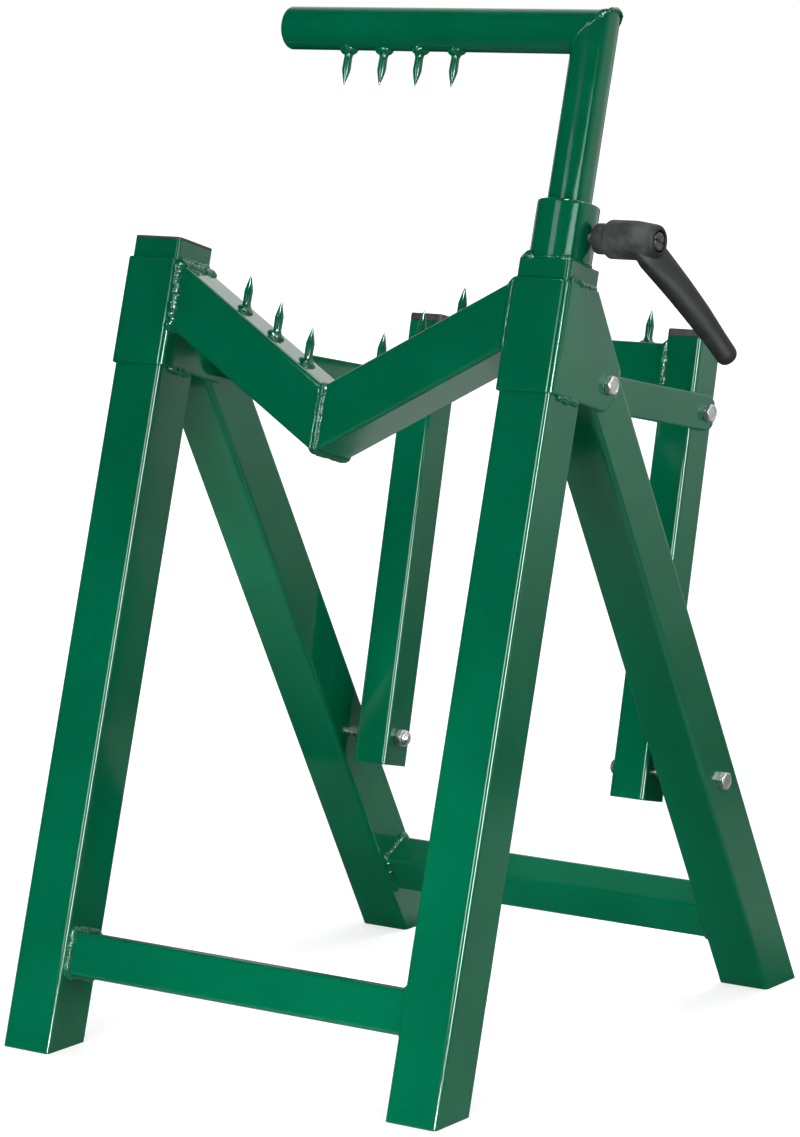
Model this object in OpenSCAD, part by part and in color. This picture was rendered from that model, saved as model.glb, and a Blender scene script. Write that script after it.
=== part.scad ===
// Folding stand that holds a log for sawing.
// Two leaning front legs carry a spiked V cradle and a clamp arm on a round post.
// The rear frame hangs on two hinge bolts and carries a spiked rear beam.
// X runs across the stand, Y from front to rear, Z up from the floor.

/* [Legs] */
// Side of the square leg tube
leg_tube = 52.5; // [46:0.5:56]
// Wall of the leg tube
leg_wall = 3; // [2:0.5:4]
// Outer corner radius of every square and rectangular tube
tube_corner = 4; // [2:0.5:6]
// Distance between the leg axes, left to right
leg_spacing = 418; // [380:1:480]
// Lean of the front legs from upright, in degrees
front_lean = 15.5; // [12:0.5:20]
// Lean of the rear legs from upright, in degrees
rear_lean = 29.6; // [25:0.2:34]

/* [Hinge] */
// Height of the hinge bolt, measured along the front leg
pivot_up = 649; // [560:1:720]
// Distance of the hinge bolt behind the front leg axis
pivot_back = 62; // [58:1:72]
// Thickness of the bracket sheet
bracket_sheet = 3; // [2:0.5:5]
// Gap between the bracket flanges and the legs, each side
bracket_play = 0.5; // [0.3:0.1:1]
// Bracket height above the hinge bolt
bracket_above = 75; // [65:1:95]
// Bracket height below the hinge bolt
bracket_below = 24; // [20:1:32]
// Bracket length behind the hinge bolt
bracket_behind = 18; // [16:1:24]
// Height above the hinge bolt where the sloping rear edge of the flange starts
flange_shoulder = 15; // [8:1:22]
// Length of front leg above the bracket
leg_over = 18; // [12:1:30]
// Air gap at the opening stop, where the rear leg top meets the front leg
stop_gap = 0.3; // [0.2:0.1:0.6]

/* [Crossbars, posts and beam] */
// Deep side of the rectangular brace tube
brace_deep = 40; // [34:1:46]
// Thin side of the rectangular brace tube
brace_thin = 38; // [32:1:42]
// Wall of the brace tube
brace_wall = 2.5; // [1.5:0.5:3.5]
// Height of the front crossbar, measured along the front leg
front_bar_up = 86; // [70:1:200]
// Height of the rear crossbar, measured along the rear leg
rear_bar_up = 84; // [70:1:140]
// Lean of the rear posts from upright, in degrees
post_lean = 12.6; // [9:0.2:16]
// Distance from the hinge bolt down the rear leg to the post bolt
post_bolt_down = 446; // [420:1:480]
// Height of the link bolt above the post bolt, measured along the post
link_bolt_up = 342; // [320:1:360]
// Length of post below the post bolt
post_tail = 28; // [20:1:34]
// Length of post above the link bolt
post_head = 69; // [62:1:90]
// Height of the rear beam above the link bolt, centre to centre
beam_up = 41.5; // [36:0.5:42]
// Width of the flat link bars
link_width = 34; // [28:1:38]
// Length of link bar behind the link bolt
link_end = 13.5; // [11:0.5:16]
// Thickness of the flat link bars
link_sheet = 5; // [4:0.5:7]
// Length of the spacer tubes between bracket and link bar
spacer_len = 8.5; // [7:0.5:14]
// Outside diameter of the spacer tubes
spacer_od = 18; // [15:1:22]

/* [Cradle] */
// Rise of each cradle arm from level, in degrees
cradle_rise = 30; // [25:1:34]
// Drop from the bracket top to the outer top edge of a cradle arm
cradle_drop = 3; // [2:1:10]

/* [Spikes] */
// Diameter of a spike
spike_d = 8; // [6:0.5:10]
// Length of a spike above what it stands on
spike_len = 33; // [26:1:38]
// Length of the tapered point
spike_point = 15; // [10:1:20]
// Radius of the weld fillet at a spike's foot
fillet_r = 7.5; // [6:0.5:9]
// Height of the weld fillet at a spike's foot
fillet_h = 6; // [4:0.5:8]
// Spikes on each cradle arm
cradle_spike_count = 3; // [2:1:4]
// First spike from the middle of the V, measured along the arm
cradle_spike_first = 45; // [38:1:52]
// Spike spacing along a cradle arm
cradle_spike_pitch = 44.5; // [36:0.5:48]
// Spikes on the clamp bar
arm_spike_count = 4; // [2:1:5]
// Distance from the arm post axis to the nearest spike
arm_spike_first = 141; // [110:1:150]
// Spike spacing on the clamp bar
arm_spike_pitch = 38.5; // [30:0.5:44]
// Spikes on the rear beam
rear_spike_count = 4; // [2:1:5]
// Spike spacing on the rear beam
rear_spike_pitch = 64.5; // [40:0.5:70]

/* [Clamp arm] */
// Outside diameter of the arm tube
arm_od = 39; // [34:0.5:41]
// Least room between the arm post and the leg tube around it, each side
arm_room = 1; // [0.5:0.5:2]
// Wall of the arm tube
arm_wall = 3; // [2:0.5:4]
// Height of the bar axis above the collar
arm_rise = 153; // [145:1:200]
// Reach of the bar from the post axis to its free end
arm_reach = 323; // [290:1:360]
// Length of arm post below the collar top
arm_depth = 250; // [200:1:300]
// Outside diameter of the collar
collar_od = 55; // [52:0.5:64]
// Length of the collar
collar_len = 53; // [50:1:70]
// Radial running clearance of the arm post in the collar
slide_fit = 0.08; // [0.04:0.01:0.1]
// Length of the guide at the arm foot
guide_len = 30; // [20:1:50]
// Length of the guide's spigot inside the arm tube
guide_spigot = 20; // [12:1:30]
// Clearance between the guide and the leg tube, each side
guide_play = 0.3; // [0.2:0.1:0.8]

/* [Fasteners] */
// Diameter of the bolts
bolt_d = 10; // [8:0.5:12]
// Width across the flats of bolt heads and nuts
hex_flats = 16; // [15:0.5:19]
// Height of a bolt head
head_h = 6.5; // [5:0.5:8]
// Height of a lock nut
nut_h = 10; // [8:0.5:12]
// Bolt thread standing out of a lock nut
bolt_out = 1.5; // [0.5:0.5:3]
// Radial clearance of bolts in clamped holes
hole_play = 0.25; // [0.1:0.05:0.5]
// Radial running clearance on the hinge bolts
pivot_fit = 0.08; // [0.04:0.01:0.1]
// Side play of the rear frame on the hinge bolts
side_play = 0.2; // [0.1:0.1:0.5]

/* [Clamp lever] */
// Height of the lever axis above the leg top
lever_up = 24; // [20:1:28]
// Diameter of the lever stud
stud_d = 10; // [8:0.5:12]
// Air gap between the collar and the lever
lever_gap = 6; // [2:0.5:8]
// Diameter of the lever neck
neck_d = 27; // [25:0.5:30]
// Length of the lever neck
neck_len = 13; // [11:0.5:16]
// Diameter of the lever hub at the neck
hub_d = 34; // [31:0.5:38]
// Diameter of the lever hub at its end
hub_end_d = 29; // [28:0.5:34]
// Length of the lever hub
hub_len = 50; // [46:0.5:56]
// Distance of the handle root below the hub end
handle_root = 17; // [11:0.5:20]
// Length of the handle from the lever axis to its rounded end
handle_len = 130; // [110:1:140]
// Tilt of the handle away from the stand, in degrees
handle_tilt = 28.2; // [22:0.2:34]
// Turn of the handle from straight down towards the rear, in degrees
handle_turn = 40; // [20:1:60]
// Radius of the handle at its root
handle_root_r = 15; // [11:0.5:16]
// Radius of the handle at its rounded end
handle_end_r = 9.5; // [7:0.5:13]
// Diameter of the steel insert in the lever
insert_d = 18; // [16:0.5:19]
// Length of the plain part of the insert
insert_len = 19; // [15:0.5:21]
// Lift of the handle that frees it from the toothed ring
lever_lift = 5.5; // [5:0.5:8]
// Diameter of the retaining screw's head
screw_head_d = 16; // [13:0.5:17]
// Height of the retaining screw's head
screw_head_h = 5; // [4:0.5:6]
// Diameter of the retaining screw's shank
screw_d = 6; // [5:0.5:7]
// Wire of the lever spring
spring_wire = 1.2; // [0.8:0.1:1.6]
// Turns of the lever spring
spring_turns = 6; // [4:1:7]

/* [Caps and plugs] */
// Thickness of the cap plate on the left front leg
leg_cap = 2.5; // [2:0.5:5]
// Thickness of the cap plates on the rear posts
post_cap = 7; // [4:0.5:10]
// Depth of a cap's plug in its tube
plug_depth = 18; // [10:1:20]
// Clearance between a plug and its tube, each side
plug_play = 0.1; // [0.05:0.05:0.3]

/* [Hidden] */
$fn = 48;
far = 3000;
cut = 0.5;
inner_corner = 0.5;
paint = [0, 0.38, 0.25];
zinc = [0.75, 0.76, 0.76];
black_plastic = [0.1, 0.1, 0.1];
lever_plastic = [0.22, 0.22, 0.22];
steel = [0.55, 0.56, 0.57];

// Side of the legs and cradle arms, never too narrow for the arm post inside
leg_side = max(leg_tube, arm_od + 2 * arm_room + 2 * leg_wall);

// Places across the stand
leg_x = leg_spacing / 2;
flange_in = leg_side / 2 + bracket_play;
flange_out = flange_in + bracket_sheet;
bracket_outside = leg_x + flange_out;
cradle_end = leg_x - flange_out;
link_outside = cradle_end - spacer_len;
post_outside = link_outside - link_sheet;
post_x = post_outside - brace_thin / 2;
post_inside = post_outside - brace_thin;

// Heights along the front leg
bracket_bottom = pivot_up - bracket_below;
bracket_top = pivot_up + bracket_above;
bracket_rear = pivot_back + bracket_behind;
leg_top = bracket_top + leg_over;
collar_top = leg_top + collar_len;
bar_u = collar_top + arm_rise;
arm_foot = collar_top - arm_depth;
lever_u = leg_top + lever_up;
half_slant = leg_side / 2 / cos(cradle_rise);
cradle_mid = bracket_top - cradle_drop - cradle_end * tan(cradle_rise) - half_slant;

// Hinge bolt, post bolt and link bolt in the side view
pivot_y = pivot_back * cos(front_lean) + pivot_up * sin(front_lean);
pivot_z = pivot_up * cos(front_lean) - pivot_back * sin(front_lean);
rear_foot_y = pivot_y + pivot_z * tan(rear_lean);
pivot_s = pivot_z / cos(rear_lean);
post_bolt_s = pivot_s - post_bolt_down;
post_bolt_y = rear_foot_y - post_bolt_s * sin(rear_lean);
post_bolt_z = post_bolt_s * cos(rear_lean);
link_bolt_y = post_bolt_y + link_bolt_up * sin(post_lean);
link_bolt_z = post_bolt_z + link_bolt_up * cos(post_lean);
link_run = norm([link_bolt_y - pivot_y, link_bolt_z - pivot_z]);
link_slope = atan2(link_bolt_z - pivot_z, link_bolt_y - pivot_y);
post_top = link_bolt_up + post_head;
beam_mid = link_bolt_up + beam_up;
fold_angle = front_lean + rear_lean;
rear_leg_over = (pivot_back - leg_side / 2 - stop_gap - leg_side / 2 * cos(fold_angle)) / sin(fold_angle);

// Lever, measured along its axis from the arm post axis
lever_base = collar_od / 2 + lever_gap;
neck_end = lever_base + neck_len;
hub_end = neck_end + hub_len;
root_a = hub_end - handle_root;
tooth_start = lever_base + insert_len;
tooth_len = lever_lift - 0.5;
tooth_end = tooth_start + tooth_len;
web = 4;
spring_start = tooth_end + web;
screw_top = hub_end - 2;
screw_under = screw_top - screw_head_h;
chamber_d = screw_head_d + 1;
spring_r = (screw_head_d - spring_wire) / 2 - 0.5;
spring_room = screw_under - spring_start - spring_wire - 0.4;
spring_pitch = spring_room / spring_turns;
tip_run = handle_len - handle_end_r;

// Extents, which put the origin at the middle of the footprint box
left_extent = bracket_outside + head_h;
right_extent = leg_x + root_a + tip_run * sin(handle_tilt) + handle_end_r;
front_extent = leg_side / 2 / cos(front_lean);
rear_extent = rear_foot_y + leg_side / 2 / cos(rear_lean);
mid_x = (right_extent - left_extent) / 2;
mid_y = (rear_extent - front_extent) / 2;

echo(least_gap_of_lever_spring = spring_pitch - spring_wire);

// Frames of reference

module stand() {
    translate([-mid_x, -mid_y, 0]) children();
}

module front() {
    stand() rotate([-front_lean, 0, 0]) children();
}

module rear() {
    stand() translate([0, rear_foot_y, 0]) rotate([rear_lean, 0, 0]) children();
}

module post_frame() {
    stand() translate([0, post_bolt_y, post_bolt_z]) rotate([-post_lean, 0, 0]) children();
}

module lever_frame() {
    front() translate([leg_x, 0, lever_u]) rotate([0, 90, 0]) children();
}

module arm_frame() {
    front() translate([leg_x, 0, bar_u]) children();
}

module mirrored(side) {
    if (side < 0) {
        mirror([1, 0, 0]) children();
    } else {
        children();
    }
}

module both_sides() {
    for (side = [-1, 1]) {
        mirrored(side) children();
    }
}

// Shapes that repeat

module rounded_rect(w, d, r) {
    square([w - 2 * r, d], center = true);
    square([w, d - 2 * r], center = true);
    for (x = [-1, 1], y = [-1, 1]) {
        translate([x * (w / 2 - r), y * (d / 2 - r)]) circle(r);
    }
}

module tube_hole(w, d, wall, play) {
    r = max(tube_corner - wall, inner_corner);
    rounded_rect(w - 2 * wall - 2 * play, d - 2 * wall - 2 * play, r);
}

module tube(w, d, wall, length) {
    linear_extrude(length) {
        difference() {
            rounded_rect(w, d, tube_corner);
            tube_hole(w, d, wall, 0);
        }
    }
}

module leg(length) {
    translate([0, 0, -leg_side]) tube(leg_side, leg_side, leg_wall, length + leg_side);
}

module foot_plug() {
    translate([0, 0, -leg_side]) {
        linear_extrude(leg_side * 1.4 + plug_depth) tube_hole(leg_side, leg_side, leg_wall, plug_play);
    }
}

module below_floor() {
    translate([-far, -far, -far]) cube([2 * far, 2 * far, far]);
}

module cross_tube(w, d, length) {
    rotate([0, 90, 0]) translate([0, 0, -length / 2]) tube(w, d, brace_wall, length);
}

module cross_hole(d) {
    rotate([0, 90, 0]) cylinder(d = d, h = 2 * far, center = true);
}

module plug_cap(w, d, wall, plate) {
    linear_extrude(plate) rounded_rect(w, d, tube_corner);
    translate([0, 0, -plug_depth]) {
        linear_extrude(plug_depth + cut) tube_hole(w, d, wall, plug_play);
    }
}

module hex_body(height, top_r) {
    intersection() {
        rotate([0, 0, 30]) cylinder(d = hex_flats / cos(30), h = height, $fn = 6);
        rotate_extrude() {
            polygon([
                [0, 0], [hex_flats, 0], [hex_flats, height / 2], [hex_flats * 0.62, height * 0.72],
                [top_r, height], [0, height]
            ]);
        }
    }
}

// A bolt along +Z with its head's underside at 0 and its shank running down
module hex_bolt(length) {
    hex_body(head_h, hex_flats / 2 - 0.4);
    translate([0, 0, -length]) cylinder(d = bolt_d, h = length + cut);
}

// A lock nut along +Z that stands on 0
module lock_nut() {
    difference() {
        union() {
            hex_body(nut_h * 0.68, hex_flats / 2 - 0.2);
            rotate_extrude() {
                polygon([
                    [0, 0], [hex_flats * 0.45, 0], [hex_flats * 0.45, nut_h * 0.76],
                    [hex_flats * 0.41, nut_h * 0.93], [hex_flats * 0.36, nut_h], [0, nut_h]
                ]);
            }
        }
        translate([0, 0, -cut]) cylinder(d = bolt_d, h = nut_h + 2 * cut);
    }
}

// A bolt along X with its head outside and its nut inside, on the right-hand side
module cross_bolt(outside, inside) {
    translate([outside, 0, 0]) rotate([0, 90, 0]) hex_bolt(outside - inside + nut_h + bolt_out);
}

module cross_nut(inside) {
    translate([inside, 0, 0]) rotate([0, -90, 0]) lock_nut();
}

module spike_rod(root) {
    r = spike_d / 2;
    rotate_extrude() {
        polygon([[0, -root], [r, -root], [r, spike_len - spike_point], [0.3, spike_len], [0, spike_len]]);
    }
}

module spike_fillet(root) {
    r = spike_d / 2;
    rotate_extrude() {
        polygon([
            [0, -root], [fillet_r, -root], [fillet_r, 0], [r + 1.6, fillet_h * 0.35],
            [r + 0.6, fillet_h * 0.7], [r, fillet_h], [0, fillet_h]
        ]);
    }
}

// Front frame

module front_leg(side) {
    difference() {
        front() translate([side * leg_x, 0, 0]) leg(leg_top);
        below_floor();
    }
}

module front_leg_left() {
    color(paint) front_leg(-1);
}

module front_leg_right() {
    color(paint) front_leg(1);
}

module front_crossbar() {
    color(paint) front() translate([0, 0, front_bar_up]) {
        cross_tube(brace_deep, brace_thin, leg_spacing - leg_side);
    }
}

// A cradle arm's own frame: Z along the arm, -X out of its top face
module along_cradle() {
    translate([0, 0, cradle_mid]) rotate([0, 90 - cradle_rise, 0]) children();
}

module cradle_arm(side) {
    front() mirrored(side) intersection() {
        along_cradle() translate([0, 0, -leg_side]) {
            tube(leg_side, leg_side, leg_wall, cradle_end / cos(cradle_rise) + 3 * leg_side);
        }
        translate([0, -leg_side, 0]) cube([cradle_end, 2 * leg_side, far]);
    }
}

module cradle_arm_left() {
    color(paint) cradle_arm(-1);
}

module cradle_arm_right() {
    color(paint) cradle_arm(1);
}

module cradle_spike(run) {
    difference() {
        along_cradle() translate([-leg_side / 2, 0, run]) rotate([0, -90, 0]) {
            spike_fillet(1);
            rotate([0, cradle_rise, 0]) spike_rod(spike_d);
        }
        along_cradle() translate([-leg_side / 2, -leg_side, run - leg_side]) {
            cube([leg_side, 2 * leg_side, 2 * leg_side]);
        }
    }
}

module cradle_spikes() {
    color(paint) front() both_sides() {
        for (i = [0 : cradle_spike_count - 1]) {
            cradle_spike(half_slant * sin(cradle_rise) + cradle_spike_first + i * cradle_spike_pitch);
        }
    }
}

module bracket_plan() {
    reach = bracket_rear + 2 * flange_out;
    difference() {
        translate([0, reach / 2 - leg_side / 2 - bracket_sheet]) {
            rounded_rect(2 * flange_out, reach, tube_corner + bracket_sheet);
        }
        translate([0, reach / 2 - leg_side / 2]) rounded_rect(2 * flange_in, reach, tube_corner);
    }
}

module bracket_side() {
    front_n = -leg_side / 2 - bracket_sheet;
    polygon([
        [front_n, bracket_bottom], [pivot_back, bracket_bottom],
        [bracket_rear, bracket_bottom + bracket_behind], [bracket_rear, pivot_up + flange_shoulder],
        [leg_side / 2 - tube_corner, bracket_top], [front_n, bracket_top]
    ]);
}

module hinge_bracket(side) {
    front() translate([side * leg_x, 0, 0]) difference() {
        intersection() {
            linear_extrude(far / 2) bracket_plan();
            rotate([90, 0, 90]) linear_extrude(4 * leg_side, center = true) bracket_side();
        }
        translate([0, pivot_back, pivot_up]) cross_hole(bolt_d + 2 * hole_play);
    }
}

module hinge_bracket_left() {
    color(paint) hinge_bracket(-1);
}

module hinge_bracket_right() {
    color(paint) hinge_bracket(1);
}

module arm_collar() {
    color(paint) front() translate([leg_x, 0, leg_top]) difference() {
        cylinder(d = collar_od, h = collar_len);
        translate([0, 0, -cut]) cylinder(d = arm_od + 2 * slide_fit, h = collar_len + 2 * cut);
        translate([0, 0, lever_up]) rotate([0, 90, 0]) cylinder(d = stud_d + 2 * slide_fit, h = collar_od);
    }
}

module front_leg_cap() {
    color(black_plastic) front() translate([-leg_x, 0, leg_top]) {
        plug_cap(leg_side, leg_side, leg_wall, leg_cap);
    }
}

module front_foot_plugs() {
    color(black_plastic) difference() {
        front() both_sides() translate([leg_x, 0, 0]) foot_plug();
        below_floor();
    }
}

module pivot_frame() {
    front() translate([0, pivot_back, pivot_up]) children();
}

module pivot_bolts() {
    color(zinc) pivot_frame() both_sides() cross_bolt(bracket_outside, post_outside - side_play);
}

module pivot_nuts() {
    color(zinc) pivot_frame() both_sides() cross_nut(post_outside - side_play);
}

// Rear frame

module rear_leg(side) {
    difference() {
        rear() translate([side * leg_x, 0, 0]) leg(pivot_s + rear_leg_over);
        below_floor();
        rear() translate([0, 0, pivot_s]) cross_hole(bolt_d + 2 * pivot_fit);
        rear() translate([0, 0, post_bolt_s]) cross_hole(bolt_d + 2 * hole_play);
    }
}

module rear_leg_left() {
    color(paint) rear_leg(-1);
}

module rear_leg_right() {
    color(paint) rear_leg(1);
}

module rear_crossbar() {
    color(paint) rear() translate([0, 0, rear_bar_up]) {
        cross_tube(brace_deep, brace_thin, leg_spacing - leg_side);
    }
}

module rear_foot_plugs() {
    color(black_plastic) difference() {
        rear() both_sides() translate([leg_x, 0, 0]) foot_plug();
        below_floor();
    }
}

module pivot_spacers() {
    color(zinc) pivot_frame() both_sides() translate([link_outside, 0, 0]) rotate([0, 90, 0]) difference() {
        cylinder(d = spacer_od, h = spacer_len - side_play);
        translate([0, 0, -cut]) cylinder(d = bolt_d + 2 * pivot_fit, h = spacer_len + 2 * cut);
    }
}

module link_outline() {
    difference() {
        union() {
            translate([0, -link_width / 2]) square([link_run, link_width]);
            circle(d = link_width);
            intersection() {
                translate([link_run, 0]) circle(d = link_width);
                translate([0, -link_width / 2]) square([link_run + link_end, link_width]);
            }
        }
        circle(d = bolt_d + 2 * pivot_fit);
        translate([link_run, 0]) circle(d = bolt_d + 2 * hole_play);
    }
}

module link_bar(side) {
    stand() mirrored(side) translate([post_outside, pivot_y, pivot_z]) {
        rotate([link_slope, 0, 0]) rotate([90, 0, 90]) linear_extrude(link_sheet) link_outline();
    }
}

module link_bar_left() {
    color(paint) link_bar(-1);
}

module link_bar_right() {
    color(paint) link_bar(1);
}

module rear_post(side) {
    post_frame() difference() {
        translate([side * post_x, 0, -post_tail]) {
            tube(brace_thin, brace_deep, brace_wall, post_tail + post_top);
        }
        cross_hole(bolt_d + 2 * hole_play);
        translate([0, 0, link_bolt_up]) cross_hole(bolt_d + 2 * hole_play);
    }
}

module rear_post_left() {
    color(paint) rear_post(-1);
}

module rear_post_right() {
    color(paint) rear_post(1);
}

module rear_beam() {
    color(paint) post_frame() translate([0, 0, beam_mid]) {
        cross_tube(brace_deep, brace_thin, 2 * post_inside);
    }
}

module rear_spikes() {
    color(paint) post_frame() translate([0, 0, beam_mid + brace_deep / 2]) {
        for (i = [0 : rear_spike_count - 1]) {
            translate([(i - (rear_spike_count - 1) / 2) * rear_spike_pitch, 0, 0]) {
                spike_fillet(0);
                spike_rod(0);
            }
        }
    }
}

module rear_post_caps() {
    color(black_plastic) post_frame() both_sides() translate([post_x, 0, post_top]) {
        plug_cap(brace_thin, brace_deep, brace_wall, post_cap);
    }
}

module link_bolts() {
    color(zinc) post_frame() translate([0, 0, link_bolt_up]) {
        both_sides() cross_bolt(link_outside, post_inside);
    }
}

module link_nuts() {
    color(zinc) post_frame() translate([0, 0, link_bolt_up]) both_sides() cross_nut(post_inside);
}

module post_bolts() {
    color(zinc) post_frame() both_sides() cross_bolt(leg_x + leg_side / 2, post_inside);
}

module post_nuts() {
    color(zinc) post_frame() both_sides() cross_nut(post_inside);
}

// Clamp arm

module arm_guide() {
    color(black_plastic) front() translate([leg_x, 0, arm_foot - guide_play]) {
        translate([0, 0, -guide_len]) {
            linear_extrude(guide_len) tube_hole(leg_side, leg_side, leg_wall, guide_play);
        }
        cylinder(d = arm_od - 2 * arm_wall - 2 * slide_fit, h = guide_spigot);
    }
}

module arm_tube(length) {
    difference() {
        cylinder(d = arm_od, h = length);
        translate([0, 0, -cut]) cylinder(d = arm_od - 2 * arm_wall, h = length + 2 * cut);
    }
}

// Half space on the post's side of the mitre
module post_side() {
    rotate([0, -45, 0]) translate([-far / 2, -far / 2, -far]) cube([far, far, far]);
}

module arm_post() {
    color(paint) arm_frame() intersection() {
        translate([0, 0, arm_foot - bar_u]) arm_tube(bar_u - arm_foot + arm_od);
        post_side();
    }
}

module arm_bar() {
    color(paint) arm_frame() difference() {
        translate([-arm_reach, 0, 0]) rotate([0, 90, 0]) arm_tube(arm_reach + arm_od);
        post_side();
    }
}

module arm_spikes() {
    color(paint) arm_frame() {
        for (i = [0 : arm_spike_count - 1]) {
            difference() {
                translate([-arm_spike_first - i * arm_spike_pitch, 0, -arm_od / 2]) mirror([0, 0, 1]) {
                    spike_fillet(arm_od / 4);
                    spike_rod(arm_od / 4);
                }
                rotate([0, 90, 0]) cylinder(d = arm_od, h = 3 * arm_reach, center = true);
            }
        }
    }
}

// Clamp lever, along +Z from the arm post axis

module lever_insert() {
    tip = arm_od / 2 + stop_gap;
    color(steel) lever_frame() difference() {
        union() {
            translate([0, 0, tip]) cylinder(d = stud_d, h = lever_base - tip + cut);
            translate([0, 0, lever_base]) cylinder(d = insert_d, h = insert_len);
            translate([0, 0, tooth_start]) cylinder(d = insert_d - 1, h = tooth_len, $fn = 12);
        }
        translate([0, 0, tooth_start]) cylinder(d = screw_d, h = tooth_len + cut);
    }
}

module lever_screw() {
    color(steel) lever_frame() difference() {
        union() {
            translate([0, 0, tooth_start]) cylinder(d = screw_d, h = screw_top - tooth_start - cut);
            translate([0, 0, screw_under]) cylinder(d = screw_head_d, h = screw_head_h);
        }
        translate([0, 0, screw_top]) cube([2, 2 * screw_head_d, 2 * screw_head_h * 0.4], center = true);
    }
}

// A helical wire as one unbroken tube, eight rings to a turn and six sides to a ring
module lever_spring() {
    rings = spring_turns * 8;
    base = spring_start + spring_wire / 2 + 0.2;
    points = [
        for (i = [0 : rings], k = [0 : 5])
            let (r = spring_r + spring_wire / 2 * cos(k * 60), turn = i * 45)
            [r * cos(turn), r * sin(turn), base + spring_pitch * i / 8 + spring_wire / 2 * sin(k * 60)]
    ];
    sides = [
        for (i = [0 : rings - 1], k = [0 : 5], half = [0, 1])
            let (a = i * 6 + k, b = i * 6 + (k + 1) % 6)
            half == 0 ? [a, b, b + 6] : [a, b + 6, a + 6]
    ];
    last = rings * 6;
    ends = [for (k = [1 : 4], cap = [0, 1]) cap == 0 ? [0, k + 1, k] : [last, last + k, last + k + 1]];
    color(zinc) lever_frame() polyhedron(points, concat(sides, ends));
}

module handle_bores() {
    translate([0, 0, lever_base - cut]) cylinder(d = insert_d + 0.6, h = insert_len + cut);
    translate([0, 0, tooth_start - cut]) cylinder(d = insert_d - 0.6, h = tooth_len + 2 * cut, $fn = 12);
    translate([0, 0, tooth_end]) cylinder(d = screw_d + 1, h = hub_len);
    translate([0, 0, spring_start]) cylinder(d = chamber_d, h = 2 * hub_len);
}

module lever_handle() {
    tip = tip_run * [
        cos(handle_tilt) * cos(handle_turn), cos(handle_tilt) * sin(handle_turn), sin(handle_tilt)
    ];
    color(lever_plastic) lever_frame() difference() {
        union() {
            translate([0, 0, lever_base]) cylinder(d = neck_d, h = neck_len + cut);
            rotate_extrude() {
                polygon([
                    [0, neck_end], [hub_d / 2 - 2, neck_end], [hub_d / 2, neck_end + 3],
                    [hub_d / 2, neck_end + hub_len * 0.6], [hub_end_d / 2, hub_end - 4],
                    [hub_end_d / 2 - 4, hub_end], [0, hub_end]
                ]);
            }
            translate([0, 0, root_a]) hull() {
                sphere(r = handle_root_r, $fn = 32);
                translate(tip) sphere(r = handle_end_r, $fn = 32);
            }
        }
        handle_bores();
    }
}

front_leg_left();
front_leg_right();
front_crossbar();
cradle_arm_left();
cradle_arm_right();
cradle_spikes();
hinge_bracket_left();
hinge_bracket_right();
arm_collar();
front_leg_cap();
front_foot_plugs();
pivot_bolts();
pivot_nuts();
pivot_spacers();
rear_leg_left();
rear_leg_right();
rear_crossbar();
rear_foot_plugs();
link_bar_left();
link_bar_right();
rear_post_left();
rear_post_right();
rear_beam();
rear_spikes();
rear_post_caps();
link_bolts();
link_nuts();
post_bolts();
post_nuts();
arm_guide();
arm_post();
arm_bar();
arm_spikes();
lever_insert();
lever_screw();
lever_spring();
lever_handle();
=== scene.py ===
"""Looks of a folding log saw stand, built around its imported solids.

Sizes are in millimetres in the stand's drawing frame: X = 0 lies midway between the legs,
Y = 0 where the front legs' axes meet the floor, and Z = 0 is the floor. Meshes are in metres.
"""
import logging
import math
from dataclasses import dataclass, field, replace
from enum import Enum
from typing import Callable, Iterable, Optional, Sequence

import bpy
import numpy as np
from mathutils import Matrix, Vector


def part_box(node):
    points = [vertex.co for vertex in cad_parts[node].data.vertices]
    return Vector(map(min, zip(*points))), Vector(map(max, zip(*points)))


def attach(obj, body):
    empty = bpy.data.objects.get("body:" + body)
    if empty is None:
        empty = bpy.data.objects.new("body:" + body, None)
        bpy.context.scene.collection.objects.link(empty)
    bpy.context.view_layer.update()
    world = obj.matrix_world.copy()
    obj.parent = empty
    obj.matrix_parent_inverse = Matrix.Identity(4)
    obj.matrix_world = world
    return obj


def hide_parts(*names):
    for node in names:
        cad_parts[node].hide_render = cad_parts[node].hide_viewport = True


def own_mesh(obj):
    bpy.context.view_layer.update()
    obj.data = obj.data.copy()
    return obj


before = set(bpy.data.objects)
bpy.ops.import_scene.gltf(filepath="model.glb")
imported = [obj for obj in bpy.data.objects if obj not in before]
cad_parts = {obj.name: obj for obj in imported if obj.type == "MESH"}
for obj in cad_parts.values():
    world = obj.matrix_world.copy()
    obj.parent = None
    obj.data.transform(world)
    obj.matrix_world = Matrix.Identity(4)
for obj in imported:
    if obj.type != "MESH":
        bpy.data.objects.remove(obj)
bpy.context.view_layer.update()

LOG = logging.getLogger("log_saw_stand")
Array = np.ndarray
Pair = tuple[float, float]
Triple = tuple[float, float, float]
Ramp = tuple[float, float, float, float]
Socket = bpy.types.NodeSocket
MM = 0.001
TAU = 2.0 * math.pi
X_AXIS = np.array([1.0, 0.0, 0.0])
SIDES = (-1, 1)
SIDE_WORD = {-1: "left", 1: "right"}
POLE = 0.01  # radius of a turned profile where it meets its axis


class Body(Enum):
    """The moving bodies that pieces ride on."""

    FRONT = "front_frame"
    REAR = "rear_frame"
    ARM = "clamp_arm"
    STUD = "lever_stud"
    HANDLE = "lever_handle"


class Slot(Enum):
    """The record's material slots."""

    PAINT = "green_paint"
    ZINC = "zinc"
    BLACK = "black_plastic"
    LEVER = "lever_plastic"
    DARK = "dark_steel"


class Beam(Enum):
    """What a studio lamp does: lights matt colour, shows in reflections, or both."""

    FILL = "fill"
    MIRROR = "mirror"
    BOTH = "both"


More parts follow.
